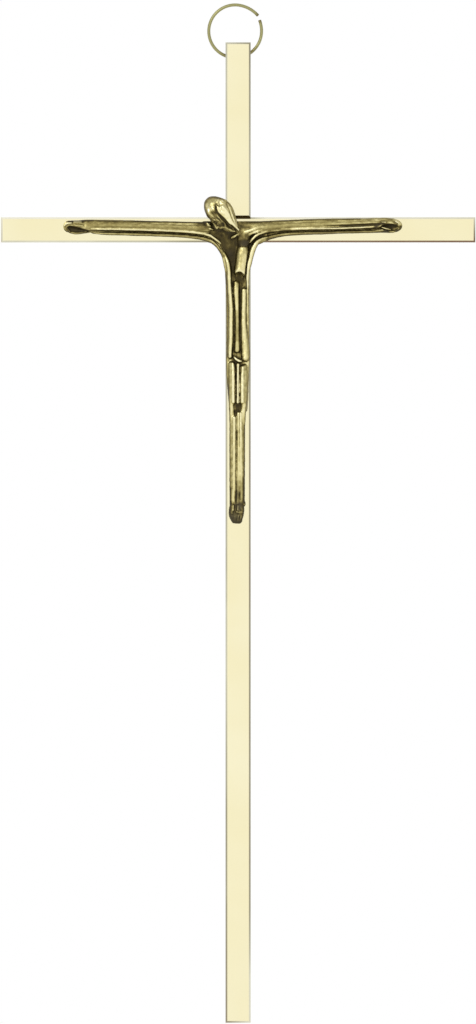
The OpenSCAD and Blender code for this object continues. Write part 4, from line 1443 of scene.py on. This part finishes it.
def wire_mesh(path, radius, worn_and_shaded):
    """A round wire along a path, with softly rounded cut ends."""
    form = bmesh.new()
    mark = form.verts.layers.float.new("worn_and_shaded")
    last = len(path) - 1
    rings = []
    for i, place in enumerate(path):
        ahead = (path[min(i + 1, last)] - path[max(i - 1, 0)]).normalized()
        side = ahead.cross(Vector((0, 1, 0))).normalized()
        other = side.cross(ahead)
        ring = []
        for x, y in circle(WIRE_SIDES):
            vertex = form.verts.new(place + radius[i] * (side * x + other * y))
            vertex[mark] = worn_and_shaded[i]
            ring.append(vertex)
        rings.append(ring)
    for lower, upper in zip(rings, rings[1:]):
        for k in range(WIRE_SIDES):
            j = (k + 1) % WIRE_SIDES
            form.faces.new((lower[k], upper[k], upper[j], lower[j]))
    form.faces.new(rings[0])
    form.faces.new(rings[-1][::-1])
    bmesh.ops.recalc_face_normals(form, faces=form.faces)
    mesh = new_mesh("hanging_ring_wire", form)
    mesh.shade_smooth()
    return mesh


def end_bend(degrees, bend):
    """How far outward the ring is bent, at some degrees from one of its ends."""
    reach, span = bend
    return reach * max(0.0, 1 - degrees / span) ** 2


def make_ring():
    """The open ring, whose upper end was bent outward a little where it was closed."""
    middle = Vector(((RING_LOW.x + RING_HIGH.x) / 2, 0, (RING_LOW.z + RING_HIGH.z) / 2))
    ring_r = (RING_HIGH.x - RING_LOW.x) / 2 - WIRE_R
    whole = RING_TO - RING_FROM
    path, worn_and_shaded = [], []
    for i in range(RING_STEPS + 1):
        share = i / RING_STEPS
        degrees = RING_FROM + share * whole
        angle = math.radians(degrees)
        reach = ring_r + end_bend(share * whole, UPPER_BEND) + end_bend((1 - share) * whole, LOWER_BEND)
        path.append(middle + Vector((reach * math.cos(angle), 0, reach * math.sin(angle))))
        end = min(share, 1 - share) * whole
        # Painted shade on the wire beside the bar
        bar_shade = sum(math.exp(-((degrees - at) / span) ** 2) for at, span in WIRE_SHADE)
        worn_and_shaded.append(min(1.0, END_BRIGHT + end / END_DEGREES) - WIRE_SHADE_DEPTH * bar_shade)
    first, last = [
        path[end] + (path[end] - path[inner]).normalized() * TIP_STEP for end, inner in ((0, 1), (-1, -2))
    ]
    radius = [TIP_R, *[WIRE_R] * len(path), TIP_R]
    mesh = wire_mesh([first, *path, last], radius, [worn_and_shaded[0], *worn_and_shaded, worn_and_shaded[-1]])
    new_piece("ring_wire", mesh, [ring_brass()], "ring", "hanging_ring")


# A pin's profile, as places along its axis and radii
PIN_PROFILE = [
    (PINS_Y + 0.15 * MM, 0.0), (PINS_Y, PIN_R * 0.85), (PINS_Y + 0.12 * MM, PIN_R),
    (BACK_Y - PIN_HEAD_T, PIN_R), (BACK_Y - 0.06 * MM, PIN_HEAD_R - 0.06 * MM),
    (BACK_Y - 0.02 * MM, PIN_HEAD_R - 0.08 * MM), (BACK_Y, PIN_HEAD_R * 0.86),
    (BACK_Y, PIN_HEAD_R * 0.6), (BACK_Y, PIN_HEAD_R * 0.34), (BACK_Y, 0.0),
]
DENT = 0.035
DENT_SEED = 21


def make_pins():
    """Four rivets whose heads are hammered out in their countersinks."""
    draw = np.random.default_rng(DENT_SEED)
    form = bmesh.new()
    for x, z in pin_places():
        rings = []
        for y, radius in PIN_PROFILE:
            if radius == 0:
                rings.append([form.verts.new((x, y, z))])
                continue
            ring = []
            for across, up in circle(PIN_SIDES):
                dent = draw.uniform(0, DENT) * MM if y == BACK_Y else 0
                ring.append(form.verts.new((x + radius * across, y - dent, z + radius * up)))
            rings.append(ring)
        skin(form, rings)
    bmesh.ops.recalc_face_normals(form, faces=form.faces)
    mesh = new_mesh("rivets", form)
    mesh.shade_smooth()
    new_piece("corpus_rivets", mesh, [pin_brass()], "cross", "corpus_pins")


# The studio's light in reflections: from the front to the back, and from below to above
FRONT_LIGHT = [
    (0.2, 1.0), (0.38, 0.92), (0.5, 0.85), (0.57, 0.5), (0.65, 0.35), (0.74, 0.6), (0.84, 0.9),
    (0.93, 1.0),
]
HEIGHT_LIGHT = [
    (0.0, (0.8, 0.74, 0.7, 1)), (0.35, (0.92, 0.9, 0.86, 1)), (0.5, WHITE),
    (1.0, (1.15, 1.15, 1.15, 1)),
]
AMBIENT = 0.55


def set_stage():
    """A studio that shines white from behind the camera and is dimmer at the sides."""
    world = bpy.data.worlds.new("studio")
    bpy.context.scene.world = world
    nodes = Nodes(world)
    rays = nodes.add("ShaderNodeLightPath")
    way = nodes.add("ShaderNodeTexCoord")["Generated"]
    way = nodes.add("ShaderNodeSeparateXYZ", {0: way})
    front = nodes.math("ADD", nodes.math("MULTIPLY", way["Y"], -0.5), 0.5)
    height = nodes.math("ADD", nodes.math("MULTIPLY", way["Z"], 0.5), 0.5)
    lights = {0: nodes.ramp(front, FRONT_LIGHT), 1: nodes.ramp(height, HEIGHT_LIGHT)}
    shaded = nodes.add("ShaderNodeVectorMath", lights, operation="MULTIPLY")[0]
    capped = nodes.add("ShaderNodeVectorMath", {0: shaded, 1: (1, 1, 1)}, operation="MINIMUM")[0]
    ambient = nodes.light("ShaderNodeBackground", WHITE, AMBIENT)
    around = nodes.light("ShaderNodeBackground", capped, 1)
    glossy = nodes.mix(rays["Is Glossy Ray"], ambient, around)
    clear = nodes.math("MAXIMUM", rays["Is Camera Ray"], rays["Is Transmission Ray"])
    seen = nodes.mix(clear, glossy, nodes.light("ShaderNodeBackground", WHITE, 1))
    nodes.add("ShaderNodeOutputWorld", {"Surface": seen})


LAMP_PLACE = (-0.5, -1.0, 0.5)
LAMP_SIZE = 0.5
LAMP_POWER = 2.2


def add_lamp():
    """A square lamp, up at the left in front, that faces the crossing."""
    data = bpy.data.lights.new("key", "AREA")
    data.shape = "RECTANGLE"
    data.size = LAMP_SIZE
    data.size_y = LAMP_SIZE
    data.energy = LAMP_POWER
    lamp = new_object("key", data)
    lamp.location = LAMP_PLACE
    target = Vector((0, 0, CROSS_Z))
    lamp.rotation_euler = (target - lamp.location).to_track_quat("-Z", "Y").to_euler()


FLOOR_HALF = 30
FLOOR_DROP = 0.2
FLOOR_COLOUR = (0.9, 0.9, 0.9, 1)
FLOOR_SHINE = 0.4
# Shares of the floor's white, by distance as a part of FADE metres
FADE = 4
FLOOR_FADE = [(0.25, 0.0), (0.85, 1.0)]


def add_floor():
    """A pale floor well below the foot of the cross, that fades into plain white far away."""
    low = UPRIGHT_LOW.z - FLOOR_DROP
    corners = [(x * FLOOR_HALF, y * FLOOR_HALF, low) for x, y in ((-1, -1), (1, -1), (1, 1), (-1, 1))]
    mesh = bpy.data.meshes.new("floor")
    mesh.from_pydata(corners, [], [(0, 1, 2, 3)])
    floor = new_object("floor", mesh)
    material, nodes = new_material("pale_floor")
    rays = nodes.add("ShaderNodeLightPath")
    seen = nodes.math("MAXIMUM", rays["Is Camera Ray"], rays["Is Glossy Ray"])
    seen = nodes.math("MAXIMUM", seen, rays["Is Transmission Ray"])
    plain = nodes.add("ShaderNodeBsdfDiffuse", {"Color": FLOOR_COLOUR})[0]
    shine = nodes.light("ShaderNodeEmission", WHITE, nodes.math("MULTIPLY", seen, FLOOR_SHINE))
    both = nodes.add("ShaderNodeAddShader", {0: plain, 1: shine})[0]
    coords = nodes.add("ShaderNodeTexCoord")["Object"]
    away = nodes.add("ShaderNodeVectorMath", {0: coords}, operation="LENGTH")["Value"]
    share = nodes.ramp(nodes.math("MULTIPLY", away, 1 / FADE), FLOOR_FADE)
    faded = nodes.mix(share, both, nodes.light("ShaderNodeEmission", WHITE, seen))
    nodes.add("ShaderNodeOutputMaterial", {"Surface": faded})
    mesh.materials.append(material)


bpy.context.scene.view_settings.view_transform = "Standard"
place_camera()
set_stage()
add_floor()
add_lamp()
make_bars()
make_ring()
make_pins()
new_piece("corpus_cast", cast_figure(), [antique_brass()], "cross", "corpus")
